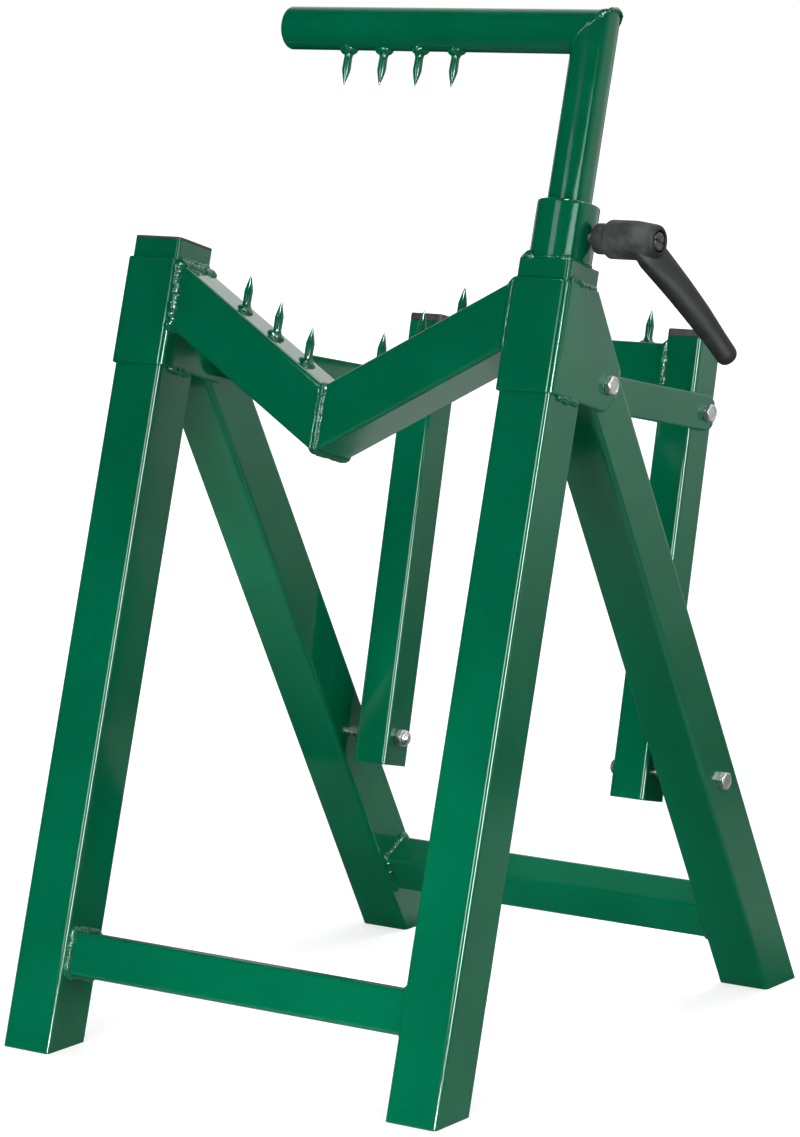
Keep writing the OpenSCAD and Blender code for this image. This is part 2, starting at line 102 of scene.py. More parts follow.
class Crease(Enum):
    """The bend in degrees past which an edge stays sharp."""

    TUBE = 38.0
    HEX = 30.0
    SHEET = 50.0
    LEVER = 42.0
    WELD = 75.0


class Seed(Enum):
    """Starts of the random runs, one for each group of welds."""

    CRADLE_SPIKES = 11
    FRONT_CROSSBAR = 21
    FRONT_SEAMS = 22
    VALLEY_RIDGES = 27
    REAR_SPIKES = 31
    REAR_CROSSBAR = 41
    REAR_BEAM = 42
    ARM_SPIKES = 51
    ARM_MITRE = 52


# Frames and planes


def unit(vector: Array) -> Array:
    """Returns the vector, or each row of it, at length one."""
    return vector / np.linalg.norm(vector, axis=-1, keepdims=True)


@dataclass(frozen=True)
class Axes:
    """A local frame: an origin and three directions in the drawing frame."""

    origin: Array
    x: Array
    y: Array
    z: Array

    def at(self, local: Array) -> Array:
        """Returns local points as points of the drawing frame."""
        p = np.asarray(local, float)
        return self.origin + p[..., :1] * self.x + p[..., 1:2] * self.y + p[..., 2:] * self.z

    def aim(self, local: Array) -> Array:
        """Returns local directions as directions of the drawing frame."""
        return self.at(local) - self.origin

    def moved(self, *local: float) -> "Axes":
        """Returns the same frame with its origin at a local point."""
        return Axes(self.at(np.array(local)), self.x, self.y, self.z)

    def along_x(self, side: int = 1) -> "Axes":
        """Returns the frame turned so that its z runs along side * x, with y kept."""
        return Axes(self.origin, -side * self.z, self.y, side * self.x)

    def upside_down(self) -> "Axes":
        """Returns the frame turned half round about its x."""
        return Axes(self.origin, self.x, -self.y, -self.z)

    def level(self, height: float) -> "Plane":
        """Returns the plane square to z at that height."""
        return Plane(self.at(np.array([0, 0, height])), self.z)


def leaning(origin: Sequence[float], degrees: float) -> Axes:
    """Returns a frame turned about X, with its z axis leaning to the rear by that many degrees."""
    c, s = math.cos(math.radians(degrees)), math.sin(math.radians(degrees))
    return Axes(np.array(origin, float), X_AXIS, np.array([0, c, -s]), np.array([0, s, c]))


@dataclass(frozen=True)
class Plane:
    """A cutting plane: a point on it and its normal."""

    point: Array
    normal: Array

    def reach(self, base: Array, direction: Array) -> Array:
        """Returns how far along the direction each base point meets the plane."""
        return ((self.point - base) @ self.normal) / (direction @ self.normal)


FLOOR = Plane(np.zeros(3), np.array([0.0, 0.0, 1.0]))


# Surfaces


@dataclass
class Surface:
    """Points of the drawing frame and arrays of faces, each array with three or four columns."""

    points: Array
    faces: list[Array]

    def outward(self) -> "Surface":
        """Turns the faces outwards, by the sign of the enclosed volume.

        Returns:
            The surface itself.
        """
        volume = 0.0
        for block in self.faces:
            corner = self.points[block]
            for k in range(1, block.shape[1] - 1):
                cross = np.cross(corner[:, k], corner[:, k + 1])
                volume += float(np.einsum("ij,ij->", corner[:, 0], cross))
        if volume < 0:
            self.faces = [block[:, ::-1] for block in self.faces]
        return self


def joined(parts: Iterable[Surface]) -> Surface:
    """Puts several surfaces into one.

    Args:
        parts: the surfaces.

    Returns:
        One surface that holds all the parts.
    """
    points, faces, start = [], [], 0
    for part in parts:
        points.append(part.points)
        faces += [block + start for block in part.faces]
        start += len(part.points)
    return Surface(np.concatenate(points), faces)


def grid(rows: Array, wrap_rows: bool = False) -> Surface:
    """A grid of points whose columns close on themselves.

    Args:
        rows: points as (row, column, 3).
        wrap_rows: whether the last row joins the first, in place of a fan at each end.

    Returns:
        The closed surface, facing outwards.
    """
    m, n = rows.shape[:2]
    points = rows.reshape(-1, 3)
    last = m if wrap_rows else m - 1
    i, j = np.meshgrid(np.arange(last), np.arange(n), indexing="ij")
    a, b = i * n + j, i * n + (j + 1) % n
    c, d = ((i + 1) % m) * n + (j + 1) % n, ((i + 1) % m) * n + j
    faces = [np.stack([a, b, c, d], -1).reshape(-1, 4)]
    if not wrap_rows:
        j = np.arange(n)
        for row, centre in ((0, len(points)), (m - 1, len(points) + 1)):
            start = row * n
            fan = np.stack([start + (j + 1) % n, start + j, np.full(n, centre)], -1)
            faces.append(fan if row == 0 else fan[:, ::-1])
        points = np.concatenate([points, [rows[0].mean(0)], [rows[-1].mean(0)]])
    return Surface(points, faces).outward()


def rounded_rectangle(width: float, depth: float, radius: float, steps: int = 6) -> Array:
    """A closed outline of four corner arcs, with a guard point beside each arc on the flats.

    Args:
        width: size along x.
        depth: size along y.
        radius: corner radius.
        steps: segments in a corner arc.

    Returns:
        The outline as (n, 2) points, anticlockwise.
    """
    guard = 1.2
    turn = np.linspace(0.0, math.pi / 2, steps + 1)
    bend = np.stack([np.cos(turn), np.sin(turn)], -1) * radius
    bend = np.concatenate([bend[:1] - [0, guard], bend, bend[-1:] - [guard, 0]])
    corners = []
    for k, (sx, sy) in enumerate(((1, 1), (-1, 1), (-1, -1), (1, -1))):
        c, s = math.cos(k * math.pi / 2), math.sin(k * math.pi / 2)
        turned = bend @ np.array([[c, s], [-s, c]])
        corners.append(turned + [sx * (width / 2 - radius), sy * (depth / 2 - radius)])
    return np.concatenate(corners)


def ring(radius: float, steps: int = 72) -> Array:
    """A closed circle as (steps, 2) points."""
    turn = np.arange(steps) * TAU / steps
    return np.stack([np.cos(turn), np.sin(turn)], -1) * radius


@dataclass(frozen=True)
class Section:
    """A tube's cross-section, square, rectangular or, with corner None, round."""

    width: float
    depth: float
    corner: Optional[float]
    wall: float
    least_corner: float = 0.6

    def loop(self, inset: float) -> Array:
        """The section's outline, moved in from the outside.

        Args:
            inset: how far the outline is moved in.

        Returns:
            The outline as (n, 2) points.
        """
        if self.corner is None:
            return ring(self.width / 2 - inset)
        size = self.width - 2 * inset, self.depth - 2 * inset
        return rounded_rectangle(*size, max(self.corner - inset, self.least_corner))


def tube(section: Section, axes: Axes, low: Plane, high: Plane, rim: float = 0.7) -> Surface:
    """A hollow tube along axes.z, cut by two planes, with its cut edges softened.

    Each outline point is carried along the axis to where it meets the planes, and the rings run
    up the outside, over the upper rim, down the bore and back under the lower rim.

    Args:
        section: the tube's cross-section.
        axes: frame whose z is the tube's axis.
        low: plane that cuts the lower end.
        high: plane that cuts the upper end.
        rim: width of the softened outer edge.

    Returns:
        The closed tube.
    """
    wall, bore_rim, guard = section.wall, 0.4, 2.5 * rim
    plan = (
        (rim, low, 0.0), (0.3 * rim, low, 0.3 * rim), (0.0, low, rim), (0.0, low, guard),
        (0.0, high, -guard), (0.0, high, -rim), (0.3 * rim, high, -0.3 * rim), (rim, high, 0.0),
        (wall - bore_rim, high, 0.0), (wall, high, -bore_rim),
        (wall, low, bore_rim), (wall - bore_rim, low, 0.0),
    )
    rows = []
    for inset, plane, step in plan:
        loop = section.loop(inset)
        base = axes.at(np.column_stack([loop, np.zeros(len(loop))]))
        reach = plane.reach(base, axes.z) + step
        rows.append(base + reach[:, None] * axes.z)
    return grid(np.array(rows), wrap_rows=True)


def lathe(
    profile: Array, axes: Axes, steps: int = 64, closed: bool = False,
    radius: Optional[Callable[[Array, Array], Array]] = None,
) -> Surface:
    """A profile of (radius, height) points turned about axes.z.

    Args:
        profile: points from one end to the other.
        axes: frame whose z is the axis of turning.
        steps: columns round the axis.
        closed: whether the profile joins its own start, as on a ring.
        radius: changes the radius as a function of (angle, row radius and height).

    Returns:
        The closed surface.
    """
    turn = np.arange(steps) * TAU / steps
    rows = np.asarray(profile, float)
    r = np.repeat(rows[:, :1], steps, 1)
    if radius is not None:
        r = radius(turn[None, :], rows)
    z = np.repeat(rows[:, 1:], steps, 1)
    points = np.stack([r * np.cos(turn), r * np.sin(turn), z], -1)
    return grid(axes.at(points), wrap_rows=closed)


def arc(centre: Sequence[float], radius: float, start: float, stop: float, steps: int = 6) -> Array:
    """Points of a circular arc in a profile, with its angles in degrees."""
    turn = np.radians(np.linspace(start, stop, steps + 1))
    return np.array(centre) + radius * np.stack([np.cos(turn), np.sin(turn)], -1)


def plate(loop: Callable[[float], Array], axes: Axes, rows: Sequence[Pair]) -> Surface:
    """Outlines stacked along axes.z and closed at both ends.

    Args:
        loop: gives the outline, moved in by an inset.
        axes: frame whose z is the plate's normal.
        rows: (inset, height) of each outline.

    Returns:
        The closed plate.
    """
    stack = []
    for inset, height in rows:
        outline = loop(inset)
        stack.append(axes.at(np.column_stack([outline, np.full(len(outline), height)])))
    return grid(np.array(stack))


# Weld beads


def eased(share: Array) -> Array:
    """Returns a share from 0 to 1 with a smooth start and stop."""
    return share * share * (3 - 2 * share)


@dataclass(frozen=True)
class BeadSize:
    """A bead's width and height, how uneven it is, and its lift out of the plane of a loop."""

    width: float
    height: float
    lumps: float = 1.0
    lift: float = 0.0


class Bead:
    """Lumpy weld beads: an oval section carried along a seam, with crescent ripples."""

    PITCH = 3.4
    STEP = 0.75
    COLUMNS = 18
    BANDS = 5
    SLOW_SPACING, SLOW_SHARE = 9.0, 0.20
    WANDER_SPACING, WANDER_SHARE = 7.0, 0.12
    LUMP_SPACING, LUMP_SHARE = 3.6, 0.26
    RIPPLE_LAG, RIPPLE_POWER, RIPPLE_SHARE, RIPPLE_SINK = 0.32, 0.7, 0.16, 0.10
    LEAST_END = 0.02

    def __init__(self, seed: Seed) -> None:
        """Starts a repeatable run of lumps."""
        self.random = np.random.default_rng(seed.value)

    def noise(self, run: Array, length: float, spacing: float, closed: bool) -> Array:
        """Smooth noise along a run: random knots with eased steps between them.

        Args:
            run: places along the run.
            length: length of the whole run.
            spacing: about how far the knots lie apart.
            closed: whether the run ends where it starts.

        Returns:
            A value from -1 to 1 for each place.
        """
        count = max(int(length / spacing), 4)
        knots = self.random.uniform(-1, 1, count + 1)
        if closed:
            knots[-1] = knots[0]
        place = run / length * count
        low = np.clip(place.astype(int), 0, count - 1)
        t = eased(place - low)
        return knots[low] * (1 - t) + knots[low + 1] * t

    def field(self, run: Array, length: float, spacing: float, closed: bool) -> Array:
        """Smooth noise over a run and round its section: bands of noise with eased steps between.

        Args:
            run: places along the run.
            length: length of the whole run.
            spacing: about how far the knots lie apart along the run.
            closed: whether the run ends where it starts.

        Returns:
            Values from -1 to 1, with a row for each place and a column for each section point.
        """
        noises = [self.noise(run, length, spacing, closed) for _ in range(self.BANDS)]
        bands = np.stack(noises, -1)
        place = np.arange(self.COLUMNS) / self.COLUMNS * self.BANDS
        low = place.astype(int)
        t = eased(place - low)
        return bands[:, low] * (1 - t) + bands[:, (low + 1) % self.BANDS] * t

    def along(self, path: Array, out: Array, size: BeadSize, closed: bool = False) -> Surface:
        """A bead along a seam.

        The bead's section is an oval. Its size follows ripples whose phase lags towards the
        bead's middle, plus slow noise, and falls to nothing at open ends.

        Args:
            path: points of the seam.
            out: direction out of the seam at each point.
            size: the bead's size and unevenness.
            closed: whether the seam runs round to its start.

        Returns:
            The closed bead.
        """
        path, out = np.asarray(path, float), np.asarray(out, float)
        if closed:
            path, out = np.concatenate([path, path[:1]]), np.concatenate([out, out[:1]])
        leg = np.linalg.norm(np.diff(path, axis=0), axis=1)
        run = np.concatenate([[0.0], np.cumsum(leg)])
        length = run[-1]
        count = max(int(length / self.STEP), 8)
        s = np.linspace(0, length, count, endpoint=not closed)
        points = np.stack([np.interp(s, run, path[:, k]) for k in range(3)], -1)
        normal = np.stack([np.interp(s, run, out[:, k]) for k in range(3)], -1)
        ahead = np.roll(points, -1, 0) - np.roll(points, 1, 0)
        if not closed:
            ahead[0], ahead[-1] = points[1] - points[0], points[-1] - points[-2]
        ahead = unit(ahead)
        normal = unit(normal - (normal * ahead).sum(-1, keepdims=True) * ahead)
        across = np.cross(ahead, normal)
        lumps = size.lumps
        slow = 1 + self.SLOW_SHARE * lumps * self.noise(s, length, self.SLOW_SPACING, closed)
        drift = self.WANDER_SHARE * lumps * size.width
        wander = drift * self.noise(s, length, self.WANDER_SPACING, closed)
        turns = max(round(length / self.PITCH), 2)
        phi = np.arange(self.COLUMNS) * TAU / self.COLUMNS
        lag = self.RIPPLE_LAG * np.cos(phi)[None, :] ** 2
        beat = np.abs(np.sin(math.pi * (s[:, None] / length * turns + lag)))
        ripple = self.RIPPLE_SHARE * beat ** self.RIPPLE_POWER - self.RIPPLE_SINK
        swell = slow[:, None] * (1 + lumps * ripple)
        lump = self.field(s, length, self.LUMP_SPACING, closed)
        swell = swell * (1 + self.LUMP_SHARE * lumps * lump)
        if not closed:
            end = np.minimum(s, length - s)[:, None] / (0.5 * size.width)
            swell = swell * np.sqrt(np.clip(end, self.LEAST_END, 1.0))
        flat = across[:, None, :] * (np.cos(phi)[None, :, None] * size.width / 2)
        tall = normal[:, None, :] * (np.sin(phi)[None, :, None] * size.height)
        middle = points + across * wander[:, None]
        return grid(middle[:, None, :] + (flat + tall) * swell[..., None], wrap_rows=closed)

    def round_loop(self, loop: Array, axes: Axes, size: BeadSize) -> Surface:
        """A closed bead round a loop in the plane of axes.

        Args:
            loop: points of the loop as (n, 2), anticlockwise.
            axes: frame whose x and y hold the loop.
            size: the bead's size, with the lift of its direction out of the plane.

        Returns:
            The closed bead.
        """
        flat = np.column_stack([loop, np.zeros(len(loop))])
        ahead = np.roll(loop, -1, 0) - np.roll(loop, 1, 0)
        outward = unit(np.stack([ahead[:, 1], -ahead[:, 0]], -1))
        out = np.column_stack([outward, np.full(len(loop), size.lift)])
        return self.along(axes.at(flat), axes.aim(out), size, closed=True)


# Finishes


class NodeSheet:
    """A material's node tree, with short calls to add and join nodes."""

    def __init__(self, name: str) -> None:
        """Starts a node material with its output and main shader.

        Args:
            name: the material's name.
        """
        self.material = bpy.data.materials.new(name)
        self.material.use_nodes = True
        self.tree = self.material.node_tree
        self.tree.nodes.clear()
        output = self.tree.nodes.new("ShaderNodeOutputMaterial")
        self.shader = self.tree.nodes.new("ShaderNodeBsdfPrincipled")
        self.tree.links.new(self.shader.outputs[0], output.inputs["Surface"])
        self.place = self.tree.nodes.new("ShaderNodeTexCoord").outputs["Object"]

    def feed(self, socket: Socket, value: object) -> None:
        """Joins an output to a socket, or sets the socket's own value.

        Args:
            socket: the input socket.
            value: an output to join, or a plain value.
        """
        if isinstance(value, Socket):
            self.tree.links.new(value, socket)
        else:
            socket.default_value = value

    def add(self, kind: str, **inputs: object) -> bpy.types.Node:
        """Adds a node and sets or joins its inputs.

        Args:
            kind: the node's type name.
            inputs: values or outputs by input name, with _ for a blank.

        Returns:
            The node.
        """
        node = self.tree.nodes.new(kind)
        for key, value in inputs.items():
            self.feed(node.inputs[key.replace("_", " ")], value)
        return node

    def surface(self, **inputs: object) -> None:
        """Sets or joins the main shader's inputs by name, with _ for a blank."""
        for key, value in inputs.items():
            self.feed(self.shader.inputs[key.replace("_", " ")], value)

    def noise(self, scale: float, detail: float = 2.0, roughness: float = 0.5) -> Socket:
        """Noise on Object coordinates.

        Args:
            scale: how many blotches there are to a metre.
            detail: octaves of finer noise.
            roughness: strength of the finer octaves.

        Returns:
            The noise value's output.
        """
        node = self.add(
            "ShaderNodeTexNoise", Vector=self.place, Scale=scale, Detail=detail, Roughness=roughness
        )
        return node.outputs["Fac"]

    def ramp(self, value: object, low: float, high: float, to_low: float, to_high: float) -> Socket:
        """A value carried in a straight line from one range to another, and held at its ends.

        Args:
            value: the output to carry.
            low: start of its range.
            high: end of its range.
            to_low: what the start becomes.
            to_high: what the end becomes.

        Returns:
            The new value's output.
        """
        node = self.tree.nodes.new("ShaderNodeMapRange")
        for k, number in enumerate((value, low, high, to_low, to_high)):
            self.feed(node.inputs[k], number)
        return node.outputs[0]

    def operate(self, kind: str, operation: str, values: Sequence[object]) -> bpy.types.Node:
        """Adds a node that works on numbers or vectors.

        Args:
            kind: the node's type name.
            operation: the operation's name.
            values: the values or outputs that it works on.

        Returns:
            The node.
        """
        node = self.tree.nodes.new(kind)
        node.operation = operation
        for socket, value in zip(node.inputs, values):
            self.feed(socket, value)
        return node

    def maths(self, operation: str, *numbers: object) -> Socket:
        """Returns what an operation on numbers gives."""
        return self.operate("ShaderNodeMath", operation, numbers).outputs[0]

    def vector(self, operation: str, *vectors: object) -> Socket:
        """Returns the number that an operation on vectors gives."""
        return self.operate("ShaderNodeVectorMath", operation, vectors).outputs["Value"]

    def shade(self, fac: object, first: object, second: object) -> Socket:
        """A colour mixed from two.

        Args:
            fac: share of the second colour.
            first: the first colour or output.
            second: the second colour or output.

        Returns:
            The mixed colour's output.
        """
        node = self.tree.nodes.new("ShaderNodeMix")
        node.data_type = "RGBA"
        self.feed(node.inputs["Factor"], fac)
        for socket, colour in zip([s for s in node.inputs if s.type == "RGBA"], (first, second)):
            self.feed(socket, (*colour, 1.0) if isinstance(colour, tuple) else colour)
        return [s for s in node.outputs if s.type == "RGBA"][0]

    def bump(self, *layers: tuple[Socket, Pair]) -> Socket:
        """A normal bent by one layer of relief after another.

        Args:
            layers: each layer's height and its (strength, depth in metres).

        Returns:
            The normal's output.
        """
        normal = None
        for height, (strength, depth) in layers:
            node = self.add("ShaderNodeBump", Height=height, Strength=strength, Distance=depth)
            if normal is not None:
                self.feed(node.inputs["Normal"], normal)
            normal = node.outputs["Normal"]
        return normal


@dataclass(frozen=True)
class PowderCoat:
    """Gloss green powder coat with orange peel and slightly uneven tube walls under it."""

    name: str = "green_powder_coat"
    deep: Triple = (0.0, 0.098, 0.043)
    light: Triple = (0.0, 0.118, 0.053)
    sheen: Triple = (0.78, 1.0, 0.94)
    roughness: Pair = (0.06, 0.11)
    tone_scale: float = 9.0
    gloss_scale: float = 34.0
    peel_scale: float = 520.0
    peel_relief: Pair = (0.06, 0.00035)
    wall_scale: float = 17.0
    wall_relief: Pair = (0.10, 0.004)

    def make(self) -> bpy.types.Material:
        """Makes the node material.

        Returns:
            The material.
        """
        sheet = NodeSheet(self.name)
        tone = sheet.ramp(sheet.noise(self.tone_scale, 3.0), 0.35, 0.65, 0.0, 1.0)
        gloss = sheet.ramp(sheet.noise(self.gloss_scale, 4.0, 0.6), 0.3, 0.7, *self.roughness)
        peel = sheet.noise(self.peel_scale, 1.5)
        wall = sheet.noise(self.wall_scale, 1.0)
        sheet.surface(
            Base_Color=sheet.shade(tone, self.deep, self.light), Roughness=gloss,
            IOR=1.5, Specular_Tint=(*self.sheen, 1.0),
            Normal=sheet.bump((wall, self.wall_relief), (peel, self.peel_relief)),
        )
        return sheet.material


@dataclass(frozen=True)
class ZincPlate:
    """Bright zinc plate, a little clouded, with fine tooling marks."""

    name: str = "bright_zinc"
    pale: Triple = (0.60, 0.61, 0.61)
    cloud: Triple = (0.40, 0.41, 0.42)
    roughness: Pair = (0.24, 0.42)
    cloud_scale: float = 160.0
    grain_scale: float = 1400.0
    grain_relief: Pair = (0.12, 0.0002)

    def make(self) -> bpy.types.Material:
        """Makes the node material.

        Returns:
            The material.
        """
        sheet = NodeSheet(self.name)
        cloud = sheet.ramp(sheet.noise(self.cloud_scale, 4.0, 0.6), 0.35, 0.7, 0.0, 1.0)
        grain = sheet.noise(self.grain_scale)
        sheet.surface(
            Base_Color=sheet.shade(cloud, self.pale, self.cloud), Metallic=1.0,
            Roughness=sheet.ramp(cloud, 0.0, 1.0, *self.roughness),
            Normal=sheet.bump((grain, self.grain_relief)),
        )
        return sheet.material


@dataclass(frozen=True)
class MouldedPlastic:
    """Moulded plastic with a fine leathery texture, and pale blotches of painted highlight and
    scuffing where its "worn" attribute says.
    """

    name: str
    dark: Triple
    pale: Triple
    roughness: Pair
    shine: float
    grain_scale: float
    grain_relief: Pair
    # colour of the pale blotches: painted highlight, with scuffing
    scuff_highlight: Optional[Triple] = None
    tone_scale: float = 70.0
    highlight_blotch_scale: float = 42.0

    def make(self) -> bpy.types.Material:
        """Makes the node material.

        Returns:
            The material.
        """
        sheet = NodeSheet(self.name)
        tone = sheet.ramp(sheet.noise(self.tone_scale, 4.0, 0.6), 0.3, 0.7, 0.0, 1.0)
        grain = sheet.noise(self.grain_scale)
        colour = sheet.shade(tone, self.dark, self.pale)
        # pale blotches where the "worn" attribute is set: painted highlight, with scuffing
        if self.scuff_highlight is not None:
            worn = sheet.add("ShaderNodeAttribute")
            worn.attribute_name = "worn"
            highlight_blotch = sheet.ramp(sheet.noise(self.highlight_blotch_scale, 3.0, 0.55), 0.38, 0.68, 0.15, 1.0)
            highlight_scuff_share = sheet.maths("MULTIPLY", worn.outputs["Fac"], highlight_blotch)
            colour = sheet.shade(highlight_scuff_share, colour, self.scuff_highlight)
        sheet.surface(
            Base_Color=colour, Specular_IOR_Level=self.shine,
            Roughness=sheet.ramp(tone, 0.0, 1.0, *self.roughness),
            Normal=sheet.bump((grain, self.grain_relief)),
        )
        return sheet.material


@dataclass(frozen=True)
class BlackenedSteel:
    """Blackened steel of the lever's stud and screw, worn paler in places."""

    name: str = "blackened_steel"
    dark: Triple = (0.045, 0.046, 0.048)
    worn: Triple = (0.16, 0.16, 0.165)
    roughness: Pair = (0.5, 0.34)
    wear_scale: float = 300.0
    grain_scale: float = 900.0
    grain_relief: Pair = (0.15, 0.0002)

    def make(self) -> bpy.types.Material:
        """Makes the node material.

        Returns:
            The material.
        """
        sheet = NodeSheet(self.name)
        wear = sheet.ramp(sheet.noise(self.wear_scale, 4.0, 0.6), 0.45, 0.75, 0.0, 1.0)
        sheet.surface(
            Base_Color=sheet.shade(wear, self.dark, self.worn), Metallic=0.85,
            Roughness=sheet.ramp(wear, 0.0, 1.0, *self.roughness),
            Normal=sheet.bump((sheet.noise(self.grain_scale), self.grain_relief)),
        )
        return sheet.material


CAP_PLASTIC = MouldedPlastic(
    "black_cap_plastic", (0.028, 0.028, 0.029), (0.042, 0.041, 0.042), roughness=(0.45, 0.6),
    shine=0.35, grain_scale=900.0, grain_relief=(0.25, 0.0003),
)
# the lever's pale blotch colour stands for painted highlight on its hub, with scuffing
LEVER_NYLON = MouldedPlastic(
    "lever_nylon", (0.0115, 0.0135, 0.0135), (0.0175, 0.0200, 0.0200), roughness=(0.5, 0.62),
    shine=0.15, grain_scale=1300.0, grain_relief=(0.35, 0.0003), scuff_highlight=(0.085, 0.088, 0.088),
)


@dataclass
class Finishes:
    """One material for each slot."""

    made: dict[Slot, bpy.types.Material] = field(default_factory=dict)

    def __post_init__(self) -> None:
        """Makes the materials."""
        kinds = {
            Slot.PAINT: PowderCoat(),
            Slot.ZINC: ZincPlate(),
            Slot.BLACK: CAP_PLASTIC,
            Slot.LEVER: LEVER_NYLON,
            Slot.DARK: BlackenedSteel(),
        }
        self.made = {slot: kind.make() for slot, kind in kinds.items()}


# Pieces


def add_object(name: str, data: bpy.types.ID) -> bpy.types.Object:
    """Puts an object with the given data into the scene.

    Args:
        name: the object's name.
        data: its mesh, camera or light.

    Returns:
        The object.
    """
    obj = bpy.data.objects.new(name, data)
    bpy.context.scene.collection.objects.link(obj)
    return obj


@dataclass
class Shop:
    """Puts surfaces into the scene as pieces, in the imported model's own frame."""

    finishes: Finishes
    shift: Array

    def mesh(self, name: str, surface: Surface, crease: Crease = Crease.TUBE) -> bpy.types.Object:
        """Makes a mesh object from a surface.

        Args:
            name: the object's name.
            surface: points and faces in millimetres of the drawing frame.
            crease: which edges stay sharp.

        Returns:
            The object, at the origin.
        """
        data = bpy.data.meshes.new(name)
        points = (surface.points + self.shift) * MM
        faces = [face for block in surface.faces for face in block.tolist()]
        data.from_pydata(points.tolist(), [], faces)
        self.smooth(data, crease)
        data.validate()
        return add_object(name, data)

    def smooth(self, data: bpy.types.Mesh, crease: Crease) -> None:
        """Shades a mesh smooth, apart from its sharp edges."""
        data.polygons.foreach_set("use_smooth", np.ones(len(data.polygons), bool))
        data.set_sharp_from_angle(angle=math.radians(crease.value))

    def finish(self, obj: bpy.types.Object, slot: Slot) -> None:
        """Gives an object the finish of a slot in place of any other."""
        obj.data.materials.clear()
        obj.data.materials.append(self.finishes.made[slot])

    def dress(self, obj: bpy.types.Object, body: Body, slot: Slot, *nodes: str) -> bpy.types.Object:
        """Makes an object a piece of the part.

        Args:
            obj: the object.
            body: the body that it rides on.
            slot: its material slot.
            nodes: the CAD nodes that it stands for.

        Returns:
            The same object.
        """
        self.finish(obj, slot)
        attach(obj, body.value)
        if nodes:
            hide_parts(*nodes)
        LOG.info("%s rides on %s: %d faces", obj.name, body.value, len(obj.data.polygons))
        return obj

    def piece(
        self, name: str, surface: Surface, body: Body, slot: Slot, *nodes: str,
        crease: Crease = Crease.TUBE,
    ) -> bpy.types.Object:
        """Makes a mesh object from a surface and dresses it."""
        return self.dress(self.mesh(name, surface, crease), body, slot, *nodes)

    def refinish(self, node: str, slot: Slot) -> None:
        """Gives a CAD node that stays in view its finish."""
        self.finish(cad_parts[node], slot)


# Shared sizes


@dataclass(frozen=True)
class Stance:
    """Leans, hinge place and tube sizes that the sub-assemblies share."""

    leg: float = 52.5
    corner: float = 4.0
    leg_wall: float = 3.0
    leg_x: float = 209.0
    front_lean: float = 15.5
    rear_lean: float = 29.6
    post_lean: float = 12.6
    pivot_up: float = 649.0
    pivot_back: float = 62.0
    post_bolt_down: float = 446.0
    link_bolt_up: float = 342.0
    sheet: float = 3.0
    play: float = 0.5
    spacer: float = 8.5
    link_sheet: float = 5.0
    brace_deep: float = 40.0
    brace_thin: float = 38.0
    brace_wall: float = 2.5
    side_play: float = 0.2
    plug_depth: float = 18.0
    cross_bead: BeadSize = BeadSize(8.5, 4.0, lift=-0.9)

    @property
    def front(self) -> Axes:
        """The front legs' frame, with z up the legs."""
        return leaning((0, 0, 0), self.front_lean)

    @property
    def hinge(self) -> Axes:
        """The front legs' frame, moved to the line of the hinge bolts."""
        return self.front.moved(0, self.pivot_back, self.pivot_up)

    @property
    def rear(self) -> Axes:
        """The rear legs' frame, with z up the legs from the floor."""
        _, y, z = self.hinge.origin
        return leaning((0, y + z * math.tan(math.radians(self.rear_lean)), 0), -self.rear_lean)

    @property
    def pivot_run(self) -> float:
        """Distance from the floor up the rear leg to the hinge bolt."""
        return float(self.hinge.origin[2] / math.cos(math.radians(self.rear_lean)))

    @property
    def post(self) -> Axes:
        """The rear posts' frame, with its origin at the post bolt."""
        bolt = self.rear.at(np.array([0.0, 0.0, self.pivot_run - self.post_bolt_down]))
        return leaning(bolt, self.post_lean)

    @property
    def inner_leg(self) -> float:
        """Inner face of a leg, from the middle of the stand."""
        return self.leg_x - self.leg / 2

    @property
    def flange_out(self) -> float:
        """Half the outside width of a hinge bracket."""
        return self.leg / 2 + self.play + self.sheet

    @property
    def link_out(self) -> float:
        """Outer face of a link bar, from the middle of the stand."""
        return self.leg_x - self.flange_out - self.spacer

    @property
    def post_out(self) -> float:
        """Outer face of a rear post, from the middle of the stand."""
        return self.link_out - self.link_sheet

    @property
    def post_in(self) -> float:
        """Inner face of a rear post, from the middle of the stand."""
        return self.post_out - self.brace_thin

    @property
    def leg_section(self) -> Section:
        """The square leg tube."""
        return Section(self.leg, self.leg, self.corner, self.leg_wall)

    @property
    def cross_section(self) -> Section:
        """The brace tube as a crossbar, with its deep side upright."""
        return Section(self.brace_deep, self.brace_thin, self.corner, self.brace_wall)

    @property
    def post_section(self) -> Section:
        """The brace tube as a post, with its deep side to the front and rear."""
        return Section(self.brace_thin, self.brace_deep, self.corner, self.brace_wall)

    def cross_tube(self, axes: Axes, half: float) -> Surface:
        """Returns a brace tube along X, from the frame at its middle and half its length."""
        run = axes.along_x()
        return tube(self.cross_section, run, run.level(-half), run.level(half))

    def cross_welds(self, axes: Axes, half: float, seed: Seed) -> Surface:
        """Fillet beads round both ends of a brace tube along X.

        Args:
            axes: frame at the tube's middle.
            half: half the tube's length.
            seed: start of the beads' random run.

        Returns:
            The two beads.
        """
        bead, loop = Bead(seed), self.cross_section.loop(0.0)
        ends = [axes.along_x(side).moved(0, 0, half) for side in SIDES]
        return joined(bead.round_loop(loop, end, self.cross_bead) for end in ends)


# Fasteners, spikes and caps


